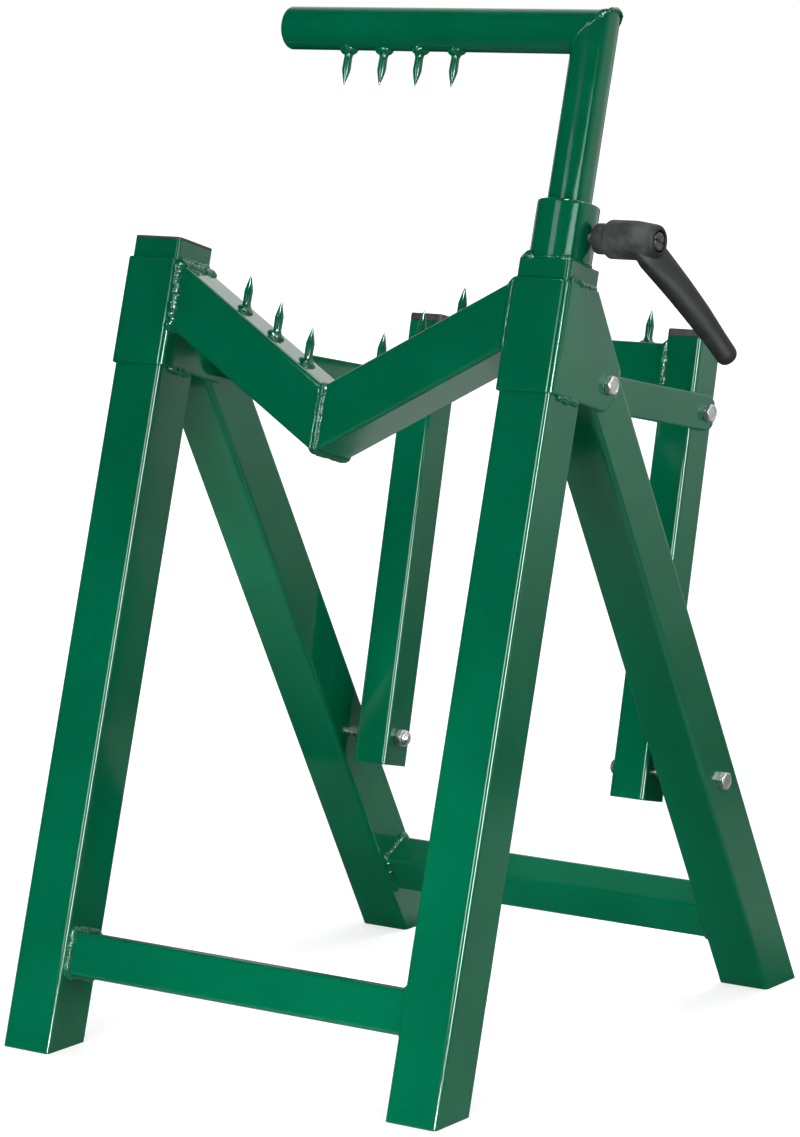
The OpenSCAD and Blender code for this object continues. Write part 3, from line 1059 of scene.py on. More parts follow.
@dataclass(frozen=True)
class Fastener:
    """Hex bolts and lock nuts of one size."""

    shank: float = 10.0
    flats: float = 16.0
    head: float = 6.5
    nut: float = 10.0
    out: float = 1.5
    pitch: float = 1.5
    thread_deep: float = 0.62
    thread_step: float = 0.19

    @property
    def tips(self) -> float:
        """Half the width of the hex across its corners."""
        return self.flats / 2 / math.cos(TAU / 12)

    def hex_radius(self, turn: Array, rows: Array) -> Array:
        """Radius of a hex prism with flats up and down, cut by the row's own chamfer radius."""
        side = np.mod(turn + TAU / 12, TAU / 6) - TAU / 12
        return np.minimum(self.flats / 2 / np.cos(side), rows[:, :1])

    def chamfer(self, step_in: float, start: float, step_up: float) -> list[Pair]:
        """Six profile points that cut the hex corners at a slant, from a height by even steps."""
        return [(self.tips - k * step_in, start + k * step_up) for k in range(6)]

    def head_surface(self, axes: Axes) -> Surface:
        """A bolt head with a chamfered crown, a dished top and a washer face.

        Args:
            axes: frame on the clamped face, with z outwards.

        Returns:
            The head.
        """
        big, h, flat = self.flats, self.head, self.flats / 2
        washer, dish = (0.97 * flat, 0.5), h - 0.35
        profile = [(0.0, 0.0), (washer[0], 0.0), washer, (big, washer[1]), (big, h - 1.6)]
        profile += self.chamfer(0.42, h - 1.45, 0.29)
        profile += [(flat - 1.0, h), (flat - 2.2, h - 0.05), (flat - 2.6, dish), (POLE, dish)]
        return lathe(np.array(profile), axes, 96, radius=self.hex_radius)

    def thread(self, turn: Array, rows: Array) -> Array:
        """Radius of a screw thread: a triangle wave that climbs one pitch a turn.

        Args:
            turn: angles round the axis.
            rows: radius and height of each row.

        Returns:
            The radius at each row and angle, left as it is on rows well inside the shank.
        """
        phase = np.mod(rows[:, 1:] / self.pitch - turn / TAU, 1.0)
        cut = self.thread_deep * (1 - np.abs(2 * phase - 1))
        return np.where(rows[:, :1] > self.shank * 0.4, rows[:, :1] - cut, rows[:, :1])

    def shank_surface(self, axes: Axes, start: float, stop: float, threaded: float) -> Surface:
        """A shank along axes.z, threaded over its last stretch.

        Args:
            axes: frame whose z is the shank's axis.
            start: where it starts.
            stop: where it ends.
            threaded: length of the thread.

        Returns:
            The plain and the threaded stretch.
        """
        r = self.shank / 2
        plain = lathe(np.array([(r, start), (r, stop - threaded)]), axes, 48)
        levels = np.arange(stop - threaded, stop - 0.8, self.thread_step)
        rows = np.column_stack([np.full(len(levels), r - 0.02), levels])
        tip = np.array([(r - 0.9, stop - 0.4), (r - 1.5, stop), (POLE, stop)])
        end = lathe(np.concatenate([rows, tip]), axes, 48, radius=self.thread)
        return joined([plain, end])

    def nut_surface(self, axes: Axes) -> Surface:
        """A lock nut: a hex body, chamfered at both ends, and a rounded collar.

        Args:
            axes: frame on the clamped face, with z outwards.

        Returns:
            The nut.
        """
        big, flat, h, bore = self.flats, self.flats / 2, self.nut, self.shank / 2
        top, collar_r = 0.68 * h, 0.90 * flat
        profile = [(bore, 0.0), (flat - 0.5, 0.0), *self.chamfer(0.40, 1.1, -0.22)[::-1]]
        profile += [(big, 1.3), (big, top - 1.5), *self.chamfer(0.40, top - 1.3, 0.22)]
        profile += [(collar_r, top), (bore, top)]
        body = lathe(np.array(profile), axes, 96, closed=True, radius=self.hex_radius)
        collar = np.concatenate([
            [(bore, top - 1), (collar_r, top - 1)], arc((collar_r - 2.0, h - 2.0), 2.0, 0, 80),
            [(bore + 0.6, h - 0.3), (bore, h - 0.8)],
        ])
        return joined([body, lathe(collar, axes, 64, closed=True)])

    def bolt_surface(self, axes: Axes, grip: float) -> Surface:
        """A whole bolt, whose shank runs down from its head through what it grips and the nut.

        Args:
            axes: frame on the clamped face, with z outwards.
            grip: thickness that the bolt goes through.

        Returns:
            Head and shank.
        """
        length, threaded = grip + self.nut + self.out, self.nut + 9.0
        shank = self.shank_surface(axes.upside_down(), -0.5, length, threaded)
        return joined([self.head_surface(axes), shank])

    def bolt_pair(self, axes: Axes, outside: float, inside: float) -> Surface:
        """Returns a bolt on each side of the frame, along X from an outer face to an inner one."""
        heads = [axes.along_x(side).moved(0, 0, outside) for side in SIDES]
        return joined(self.bolt_surface(head, outside - inside) for head in heads)

    def nut_pair(self, axes: Axes, inside: float) -> Surface:
        """Returns a nut on each side of the frame, along X on an inner face."""
        seats = [axes.moved(side * inside, 0, 0).along_x(-side) for side in SIDES]
        return joined(self.nut_surface(seat) for seat in seats)


@dataclass(frozen=True)
class Spike:
    """A pointed rod welded on by its foot."""

    diameter: float = 8.0
    length: float = 33.0
    point: float = 15.0
    taper_power: float = 1.12
    tip_r: float = 0.2
    skirt_out: float = 3.9
    skirt_up: float = 10.0
    skirt_sink: float = 1.5
    skirt_lumps: Pair = (0.7, 1.4)
    foot_bead: BeadSize = BeadSize(7.0, 2.6, lift=0.8)

    def rod(self, axes: Axes, root: float) -> Surface:
        """The rod: a straight shank, then a turned point with a faintly curved taper.

        Args:
            axes: frame at the foot, with z along the rod.
            root: how far the rod reaches below its foot.

        Returns:
            The rod.
        """
        r, thin = self.diameter / 2, self.diameter / 2 - 0.3
        t = np.linspace(0, 1, 12)
        radius = r * (1 - t ** self.taper_power) + self.tip_r * t
        taper = np.column_stack([radius, self.length - self.point * (1 - t)])
        shank, tip = [(thin, -root), (thin, 5.0)], [(POLE, self.length)]
        return lathe(np.concatenate([shank, taper, tip]), axes, 32)

    def foot(self, bead: Bead, axes: Axes, rod: Axes) -> Surface:
        """The weld round the foot: a lumpy skirt that climbs the rod, and a ring bead below it.

        The skirt is a turned cone whose radius and height carry noise round the axis.

        Args:
            bead: the random run of the weld.
            axes: frame at the foot, with z out of the face that it stands on.
            rod: frame at the foot, with z along the rod.

        Returns:
            Skirt and ring bead.
        """
        steps = 40
        turn = np.arange(steps) * TAU / steps
        lump = bead.noise(turn, TAU, TAU / 9, True)
        t = np.linspace(0, 1, 9)[:, None]
        out_lumps, up_lumps = self.skirt_lumps
        r = self.diameter / 2 - 0.6 + (self.skirt_out + out_lumps * lump) * (1 - t) ** 1.7
        z = (self.skirt_up + up_lumps * np.roll(lump, 7)) * t - self.skirt_sink
        skirt = grid(rod.at(np.stack([r * np.cos(turn), r * np.sin(turn), z], -1)))
        loop = ring(self.diameter / 2 + 1.2, steps)
        return joined([skirt, bead.round_loop(loop, axes, self.foot_bead)])


@dataclass(frozen=True)
class PlugCap:
    """A moulded end cap for a tube: a plate with rounded edges and a shallow dish on top."""

    section: Section
    thick: float
    plug: float
    least_corner: float = 0.8

    def surface(self, axes: Axes) -> Surface:
        """The cap with its plug below.

        Args:
            axes: frame on the tube's end, with z outwards.

        Returns:
            The cap.
        """
        top, soft, inside = self.thick, min(1.6, self.thick * 0.5), self.section.wall + 0.1
        plug = [(inside + 1.0, -self.plug), (inside, -self.plug + 1.5), (inside, 0.0)]
        edge = arc((soft, top - soft), soft, 180, 90, 5).tolist()
        dish = [(soft + 2.0, top), (soft + 2.6, top - 0.25), (soft + 6.0, top - 0.3)]
        outline = replace(self.section, least_corner=self.least_corner).loop
        return plate(outline, axes, plug + [(0.25, 0.0), (0.0, 0.3)] + edge + dish)


# Front frame


@dataclass
class FrontFrame:
    """Front legs, cradle, hinge brackets, collar and what is welded or bolted to them."""

    stance: Stance
    shop: Shop
    bracket_above: float = 75.0
    bracket_below: float = 24.0
    bracket_behind: float = 18.0
    flange_shoulder: float = 15.0
    flange_margin: float = 6.0
    flange_stops: Pair = (40.0, 24.0)
    leg_stops: Triple = (10.0, 0.0, -10.0)
    front_stop: float = 8.0
    sheet_soft: float = 0.7
    leg_over: float = 18.0
    crossbar_up: float = 86.0
    cradle_rise: float = 30.0
    cradle_drop: float = 3.0
    cradle_rim: float = 0.4
    spike_first: float = 45.0
    spike_pitch: float = 44.5
    spike_count: int = 3
    spike_root: float = 3.0
    collar_od: float = 55.0
    collar_len: float = 53.0
    collar_play: float = 0.08
    arm_od: float = 39.0
    cap_thick: float = 2.5
    left_bead: BeadSize = BeadSize(10.5, 4.2, lift=-1.0)
    right_bead: BeadSize = BeadSize(12.0, 2.2, 0.25, lift=-1.0)
    valley_bead: BeadSize = BeadSize(9.5, 2.3, 0.6)
    valley_ground: float = 2.0
    ridge_bead: BeadSize = BeadSize(3.4, 3.0, 0.6)
    ridge_apart: float = 1.9
    collar_bead: BeadSize = BeadSize(4.0, 1.2, 0.3, lift=-0.6)
    collar_bead_up: float = 0.6
    tacks: tuple[tuple[Pair, BeadSize], ...] = (
        ((196.0, 248.0), BeadSize(11.0, 5.5, 0.35, lift=0.9)),
        ((-64.0, -34.0), BeadSize(9.0, 4.5, 0.5, lift=0.9)),
    )
    tack_off: float = 0.5
    edge_bead: BeadSize = BeadSize(6.5, 3.0)
    edge_off: float = 0.8
    edge_up: float = 0.6
    upper_edge: Pair = (-22.0, 22.0)
    lower_edge: Pair = (-14.0, 20.0)
    fastener: Fastener = Fastener()
    spike: Spike = Spike()

    @property
    def bracket_top(self) -> float:
        """Top of the hinge brackets, up the leg."""
        return self.stance.pivot_up + self.bracket_above

    @property
    def bracket_foot(self) -> float:
        """Lower edge of the hinge brackets, up the leg."""
        return self.stance.pivot_up - self.bracket_below

    @property
    def bracket_rear(self) -> float:
        """Rear edge of the flanges, behind the leg's axis."""
        return self.stance.pivot_back + self.bracket_behind

    @property
    def leg_top(self) -> float:
        """Top of the front legs."""
        return self.bracket_top + self.leg_over

    @property
    def cradle_end(self) -> float:
        """Outer end of a cradle arm, from the middle."""
        return self.stance.leg_x - self.stance.flange_out

    @property
    def cradle_climb(self) -> float:
        """How far a cradle arm climbs from the middle to its outer end."""
        return self.cradle_end * math.tan(math.radians(self.cradle_rise))

    @property
    def half_slant(self) -> float:
        """Half the height of a cradle arm where it is cut upright."""
        return self.stance.leg / 2 / math.cos(math.radians(self.cradle_rise))

    @property
    def cradle_mid(self) -> float:
        """Height of the arms' axes where they meet."""
        return self.bracket_top - self.cradle_drop - self.cradle_climb - self.half_slant

    def upright(self, x: float) -> Plane:
        """Returns the plane across the stand at x."""
        return Plane(np.array([x, 0.0, 0.0]), X_AXIS)

    def cradle_axes(self, side: int) -> Axes:
        """Frame of a cradle arm.

        Args:
            side: -1 for the left arm, 1 for the right.

        Returns:
            The frame, with z up along the arm from the middle and x out of its top face.
        """
        rise = math.radians(self.cradle_rise)
        f = self.stance.front
        along = side * f.x * math.cos(rise) + f.z * math.sin(rise)
        top = -side * f.x * math.sin(rise) + f.z * math.cos(rise)
        return Axes(f.at(np.array([0, 0, self.cradle_mid])), top, f.y, along)

    def build_legs(self) -> None:
        """Legs, crossbar and cradle arms."""
        s, shop = self.stance, self.shop
        top = s.front.level(self.leg_top)
        for side in SIDES:
            word = SIDE_WORD[side]
            leg = tube(s.leg_section, s.front.moved(side * s.leg_x, 0, 0), FLOOR, top)
            shop.piece(f"front_leg_{word}_tube", leg, Body.FRONT, Slot.PAINT, f"front_leg_{word}")
            middle, end = self.upright(0), self.upright(side * self.cradle_end)
            arm = tube(s.leg_section, self.cradle_axes(side), middle, end, self.cradle_rim)
            shop.piece(f"cradle_arm_{word}_tube", arm, Body.FRONT, Slot.PAINT, f"cradle_arm_{word}")
        bar = s.cross_tube(s.front.moved(0, 0, self.crossbar_up), s.inner_leg)
        shop.piece("front_crossbar_tube", bar, Body.FRONT, Slot.PAINT, "front_crossbar")

    def bracket_path(self, inset: float) -> Array:
        """The plan of a bracket: a U round the leg's front.

        Args:
            inset: distance in from the sheet's outer face.

        Returns:
            (x, y) points from one flange's rear edge round to the other's.
        """
        s, rear, margin = self.stance, self.bracket_rear, self.flange_margin
        stops = (
            rear, rear - self.sheet_soft, rear - margin, s.pivot_back + margin, s.pivot_back,
            *self.flange_stops, s.leg / 2 - s.corner, *self.leg_stops, s.corner - s.leg / 2,
        )
        flange = np.column_stack([np.full(len(stops), s.flange_out - inset), stops])
        outer_r = s.corner + s.sheet
        centre = (s.flange_out - outer_r, s.corner - s.leg / 2)
        bend = arc(centre, outer_r - inset, 0, -90, 8)[1:]
        half = np.concatenate([flange, bend, [(self.front_stop, inset - s.sheet - s.leg / 2)]])
        return np.concatenate([half, (half * [-1, 1])[::-1]])

    def bracket_surface(self, side: int) -> Surface:
        """A folded sheet: a U-shaped plan path with its own lower and upper edge at each point.

        The sheet's section is a thin box with softened edges, carried along the U from one flange's
        rear edge round the leg's front to the other's.

        Args:
            side: -1 for the left bracket, 1 for the right.

        Returns:
            The sheet.
        """
        s, soft, rear = self.stance, self.sheet_soft, self.bracket_rear
        outer, inner = self.bracket_path(0.0), self.bracket_path(s.sheet)
        foot, shoulder = self.bracket_foot, s.pivot_up + self.flange_shoulder
        n = outer[:, 1]
        low = np.interp(n, [s.pivot_back, rear], [foot, foot + self.bracket_behind])
        high = np.interp(n, [s.leg / 2 - s.corner, rear], [self.bracket_top, shoulder])
        thin = (inner - outer) * soft / s.sheet
        end = np.isin(np.arange(len(n)), [0, len(n) - 1])[:, None] * 1.0
        out_a, in_a = outer + thin * end, inner - thin * end
        bend, brow, guard = 0.3 * thin, 0.3 * soft, 3 * soft
        section = (
            (out_a, low + soft), (out_a, low + guard), (out_a, high - guard), (out_a, high - soft),
            (out_a + bend, high - brow), (out_a + thin, high), (in_a - thin, high),
            (in_a - bend, high - brow), (in_a, high - soft), (in_a, high - guard),
            (in_a, low + guard), (in_a, low + soft), (in_a - bend, low + brow), (in_a - thin, low),
            (out_a + thin, low), (out_a + bend, low + brow),
        )
        rows = np.stack([np.column_stack([plan, up]) for plan, up in section], 1)
        return grid(s.front.moved(side * s.leg_x, 0, 0).at(rows))

    def collar_profile(self) -> Array:
        """Half the collar's section: softened at its foot, rounded at its top.

        Returns:
            (radius, height) points from the foot of the bore round to its mouth.
        """
        bore, out, h = self.arm_od / 2 + self.collar_play, self.collar_od / 2, self.collar_len
        bore_soft, foot_soft, top_r, mouth_soft = 0.4, 0.8, 1.6, 0.9
        foot = [(bore, bore_soft), (bore + bore_soft, 0.0), (out - foot_soft, 0.0), (out, foot_soft)]
        side = [(out, 3.0), (out, h - 3.5)]
        brow = arc((out - top_r, h - top_r), top_r, 0, 90)
        return np.concatenate([foot + side, brow, [(bore + mouth_soft, h), (bore, h - mouth_soft)]])

    def build_brackets(self) -> None:
        """Hinge brackets and the collar."""
        s, shop = self.stance, self.shop
        for side in SIDES:
            word = SIDE_WORD[side]
            shop.piece(
                f"hinge_bracket_{word}_sheet", self.bracket_surface(side), Body.FRONT, Slot.PAINT,
                f"hinge_bracket_{word}", crease=Crease.SHEET,
            )
        axes = s.front.moved(s.leg_x, 0, self.leg_top)
        collar = lathe(self.collar_profile(), axes, 96, closed=True)
        shop.piece("arm_collar_ring", collar, Body.FRONT, Slot.PAINT, "arm_collar")

    def build_spikes(self) -> None:
        """Cradle spikes, parallel to the legs, with their welds square to the arms."""
        bead, parts = Bead(Seed.CRADLE_SPIKES), []
        f = self.stance.front
        start = self.half_slant * math.sin(math.radians(self.cradle_rise)) + self.spike_first
        for side in SIDES:
            arm = self.cradle_axes(side)
            for k in range(self.spike_count):
                foot = arm.at(np.array([self.stance.leg / 2, 0, start + k * self.spike_pitch]))
                rod, face = Axes(foot, f.x, f.y, f.z), Axes(foot, arm.y, arm.z, arm.x)
                parts += [self.spike.rod(rod, self.spike_root), self.spike.foot(bead, face, rod)]
        self.shop.piece("cradle_spike_row", joined(parts), Body.FRONT, Slot.PAINT, "cradle_spikes")

    def build_bolts(self) -> None:
        """Hinge bolts and nuts."""
        s, fast, shop = self.stance, self.fastener, self.shop
        inside, outside = s.post_out - s.side_play, s.leg_x + s.flange_out
        bolts, nuts = fast.bolt_pair(s.hinge, outside, inside), fast.nut_pair(s.hinge, inside)
        shop.piece("hinge_bolt_pair", bolts, Body.FRONT, Slot.ZINC, "pivot_bolts", crease=Crease.HEX)
        shop.piece("hinge_nut_pair", nuts, Body.FRONT, Slot.ZINC, "pivot_nuts", crease=Crease.HEX)

    def build_cap(self) -> None:
        """Cap of the left leg, and the plugs in the feet."""
        s = self.stance
        cap = PlugCap(s.leg_section, self.cap_thick, s.plug_depth)
        top = cap.surface(s.front.moved(-s.leg_x, 0, self.leg_top))
        self.shop.piece("front_leg_left_cap", top, Body.FRONT, Slot.BLACK, "front_leg_cap")
        self.shop.refinish("front_foot_plugs", Slot.BLACK)

    def cradle_welds(self, bead: Bead) -> list[Surface]:
        """Beads round the cradle arms' outer ends, and the seam in the valley.

        The valley's bead is ground down on the underside, and has a ridge on each side.

        Args:
            bead: the random run of the beads.

        Returns:
            The beads.
        """
        s, f, parts = self.stance, self.stance.front, []
        seam = rounded_rectangle(2 * self.half_slant, s.leg, s.corner)
        for side, size in zip(SIDES, (self.left_bead, self.right_bead)):
            end = f.moved(side * self.cradle_end, 0, self.cradle_mid + self.cradle_climb)
            parts.append(bead.round_loop(seam, end.along_x(side), size))
        middle = f.moved(0, 0, self.cradle_mid).along_x()
        below = np.clip((seam[:, 0] - self.half_slant) / s.corner + 1.0, 0.0, 1.0)
        ground = seam - np.column_stack([self.valley_ground * below, np.zeros(len(seam))])
        parts.append(bead.round_loop(ground, middle, self.valley_bead))
        ridge = Bead(Seed.VALLEY_RIDGES)
        for side in SIDES:
            beside = middle.moved(0, 0, self.ridge_apart * side)
            parts.append(ridge.round_loop(ground, beside, self.ridge_bead))
        return parts

    def collar_welds(self, bead: Bead) -> list[Surface]:
        """The fine bead under the collar, and the tacks on it.

        Args:
            bead: the random run of the beads.

        Returns:
            The beads.
        """
        steps, up = 40, self.collar_bead_up
        collar = self.stance.front.moved(self.stance.leg_x, 0, self.leg_top + up)
        foot = ring(self.collar_od / 2 - up, 96)
        parts = [bead.round_loop(foot, collar, self.collar_bead)]
        for span, size in self.tacks:
            turn = np.radians(np.linspace(*span, steps))
            around = np.column_stack([np.cos(turn), np.sin(turn), np.zeros(steps)])
            path = collar.at(around * (self.collar_od / 2 + self.tack_off))
            parts.append(bead.along(path, collar.aim(around + [0, 0, size.lift]), size))
        return parts

    def edge_welds(self, bead: Bead) -> list[Surface]:
        """Beads where the brackets' upper and lower edges meet the sides of the legs.

        Args:
            bead: the random run of the beads.

        Returns:
            The beads.
        """
        s, f, steps, parts = self.stance, self.stance.front, 30, []
        edges = (self.bracket_top, 1, self.upper_edge), (self.bracket_foot, -1, self.lower_edge)
        for side in SIDES:
            for up, tilt, span in edges:
                level = np.full(steps, up + tilt * self.edge_up)
                for hand in SIDES:
                    face = np.full(steps, side * s.leg_x + hand * (s.leg / 2 + self.edge_off))
                    path = np.column_stack([face, np.linspace(*span, steps), level])
                    out = np.tile([hand * 0.8, 0.0, tilt], (steps, 1))
                    parts.append(bead.along(f.at(path), f.aim(out), self.edge_bead))
        return parts

    def build_welds(self) -> None:
        """Weld beads of the front frame."""
        s, bead = self.stance, Bead(Seed.FRONT_SEAMS)
        bar = s.front.moved(0, 0, self.crossbar_up)
        parts = [s.cross_welds(bar, s.inner_leg, Seed.FRONT_CROSSBAR)]
        parts += self.cradle_welds(bead)
        parts += self.collar_welds(bead)
        parts += self.edge_welds(bead)
        welds = joined(parts)
        self.shop.piece("front_weld_beads", welds, Body.FRONT, Slot.PAINT, crease=Crease.WELD)

    def build(self) -> None:
        """Builds and dresses the whole sub-assembly."""
        self.build_legs()
        self.build_brackets()
        self.build_spikes()
        self.build_bolts()
        self.build_cap()
        self.build_welds()


# Rear frame


@dataclass
class RearFrame:
    """Rear legs, posts, beam, link bars and their fasteners."""

    stance: Stance
    shop: Shop
    stop_gap: float = 0.3
    crossbar_up: float = 84.0
    post_tail: float = 28.0
    post_head: float = 69.0
    beam_up: float = 41.5
    link_width: float = 34.0
    link_end: float = 13.5
    link_guard: float = 8.0
    spacer_od: float = 18.0
    spacer_play: float = 0.08
    cap_thick: float = 7.0
    spike_count: int = 4
    spike_pitch: float = 64.5
    spike_root: float = 1.0
    fastener: Fastener = Fastener()
    spike: Spike = Spike()

    @property
    def leg_end(self) -> float:
        """Upper end of the rear legs, where they stop against the front legs."""
        s = self.stance
        fold = math.radians(s.front_lean + s.rear_lean)
        room = s.pivot_back - s.leg / 2 - self.stop_gap - s.leg / 2 * math.cos(fold)
        return s.pivot_run + room / math.sin(fold)

    @property
    def post_top(self) -> float:
        """Top of the posts above the post bolt."""
        return self.stance.link_bolt_up + self.post_head

    @property
    def post_mid(self) -> float:
        """Middle of a post, from the middle of the stand."""
        return self.stance.post_in + self.stance.brace_thin / 2

    @property
    def beam_mid(self) -> float:
        """Middle of the beam above the post bolt."""
        return self.stance.link_bolt_up + self.beam_up

    @property
    def link_run(self) -> Array:
        """The way from the hinge bolt to the link bolt in the side view."""
        s = self.stance
        return s.post.at(np.array([0, 0, s.link_bolt_up])) - s.hinge.origin

    @property
    def link_length(self) -> float:
        """Distance between the two bolts of a link bar."""
        return float(np.linalg.norm(self.link_run))

    def build_tubes(self) -> None:
        """Legs, crossbar, posts and beam."""
        s, shop = self.stance, self.shop
        leg_top = s.rear.level(self.leg_end)
        low, high = s.post.level(-self.post_tail), s.post.level(self.post_top)
        for side in SIDES:
            word = SIDE_WORD[side]
            leg = tube(s.leg_section, s.rear.moved(side * s.leg_x, 0, 0), FLOOR, leg_top)
            shop.piece(f"rear_leg_{word}_tube", leg, Body.REAR, Slot.PAINT, f"rear_leg_{word}")
            post = tube(s.post_section, s.post.moved(side * self.post_mid, 0, 0), low, high)
            shop.piece(f"rear_post_{word}_tube", post, Body.REAR, Slot.PAINT, f"rear_post_{word}")
        bar = s.cross_tube(s.rear.moved(0, 0, self.crossbar_up), s.inner_leg)
        shop.piece("rear_crossbar_tube", bar, Body.REAR, Slot.PAINT, "rear_crossbar")
        beam = s.cross_tube(s.post.moved(0, 0, self.beam_mid), s.post_in)
        shop.piece("rear_beam_tube", beam, Body.REAR, Slot.PAINT, "rear_beam")

    def link_axes(self, side: int) -> Axes:
        """Frame of a link bar, on its inner face at the hinge bolt.

        Args:
            side: -1 for the left bar, 1 for the right.

        Returns:
            The frame, with x along the bar and z outwards.
        """
        s, along, outward = self.stance, self.link_run / self.link_length, side * X_AXIS
        origin = s.hinge.origin + side * s.post_out * X_AXIS
        return Axes(origin, along, np.cross(outward, along), outward)

    def link_outline(self, inset: float) -> Array:
        """Outline of a link bar: a half circle and a trimmed one on straight sides.

        Args:
            inset: how far the outline is moved in.

        Returns:
            The outline as (n, 2) points.
        """
        length, guard, r = self.link_length, self.link_guard, self.link_width / 2 - inset
        left, right = arc((0, 0), r, 90, 270, 24), arc((length, 0), r, -90, 90, 48)
        right[:, 0] = np.minimum(right[:, 0], length + self.link_end - inset)
        below, above = [(guard, -r), (length - guard, -r)], [(length - guard, r), (guard, r)]
        return np.concatenate([left, below, right, above])

    def build_links(self) -> None:
        """Link bars: flat bars with round ends and softened edges."""
        soft, bend, flat = 0.8, 0.25, 2.0
        under = [(flat, 0.0), (soft, 0.0), (bend, bend), (0.0, soft)]
        over = [(inset, self.stance.link_sheet - height) for inset, height in reversed(under)]
        for side in SIDES:
            word = SIDE_WORD[side]
            bar = plate(self.link_outline, self.link_axes(side), under + over)
            self.shop.piece(f"link_bar_{word}_flat", bar, Body.REAR, Slot.PAINT, f"link_bar_{word}")

    def spacer_profile(self) -> Array:
        """Half a spacer's section, with softened edges.

        Returns:
            (radius, height) points from the foot of the bore round to its top.
        """
        s, bore_soft, soft = self.stance, 0.3, 0.5
        length = s.spacer - s.side_play
        bore, out = self.fastener.shank / 2 + self.spacer_play, self.spacer_od / 2
        foot = [(bore, bore_soft), (bore + bore_soft, 0.0), (out - soft, 0.0), (out, soft)]
        return np.array(foot + [(r, length - z) for r, z in reversed(foot)])

    def build_fasteners(self) -> None:
        """Spacers, link bolts and post bolts with their nuts."""
        s, fast, shop = self.stance, self.fastener, self.shop
        seats = [s.hinge.along_x(d).moved(0, 0, s.link_out) for d in SIDES]
        spacers = joined(lathe(self.spacer_profile(), seat, 48, closed=True) for seat in seats)
        shop.piece("hinge_spacer_pair", spacers, Body.REAR, Slot.ZINC, "pivot_spacers")
        link = s.post.moved(0, 0, s.link_bolt_up)
        rows = ("link", link, s.link_out), ("post", s.post, s.leg_x + s.leg / 2)
        for name, axes, outside in rows:
            pairs = fast.bolt_pair(axes, outside, s.post_in), fast.nut_pair(axes, s.post_in)
            for kind, pair in zip(("bolt", "nut"), pairs):
                shop.piece(
                    f"{name}_{kind}_pair", pair, Body.REAR, Slot.ZINC, f"{name}_{kind}s",
                    crease=Crease.HEX,
                )

    def build_caps(self) -> None:
        """Post caps, and the plugs in the feet."""
        s = self.stance
        cap = PlugCap(s.post_section, self.cap_thick, s.plug_depth)
        tops = [s.post.moved(d * self.post_mid, 0, self.post_top) for d in SIDES]
        pair = joined(cap.surface(top) for top in tops)
        self.shop.piece("rear_post_cap_pair", pair, Body.REAR, Slot.BLACK, "rear_post_caps")
        self.shop.refinish("rear_foot_plugs", Slot.BLACK)

    def build_spikes(self) -> None:
        """Spikes along the beam."""
        s, bead, parts = self.stance, Bead(Seed.REAR_SPIKES), []
        for k in range(self.spike_count):
            x = (k - (self.spike_count - 1) / 2) * self.spike_pitch
            axes = s.post.moved(x, 0, self.beam_mid + s.brace_deep / 2)
            parts += [self.spike.rod(axes, self.spike_root), self.spike.foot(bead, axes, axes)]
        self.shop.piece("rear_spike_row", joined(parts), Body.REAR, Slot.PAINT, "rear_spikes")

    def build_welds(self) -> None:
        """Weld beads of the rear frame."""
        s = self.stance
        bar, beam = s.rear.moved(0, 0, self.crossbar_up), s.post.moved(0, 0, self.beam_mid)
        welds = joined([
            s.cross_welds(bar, s.inner_leg, Seed.REAR_CROSSBAR),
            s.cross_welds(beam, s.post_in, Seed.REAR_BEAM),
        ])
        self.shop.piece("rear_weld_beads", welds, Body.REAR, Slot.PAINT, crease=Crease.WELD)

    def build(self) -> None:
        """Builds and dresses the whole sub-assembly."""
        self.build_tubes()
        self.build_links()
        self.build_fasteners()
        self.build_caps()
        self.build_spikes()
        self.build_welds()


# Clamp arm


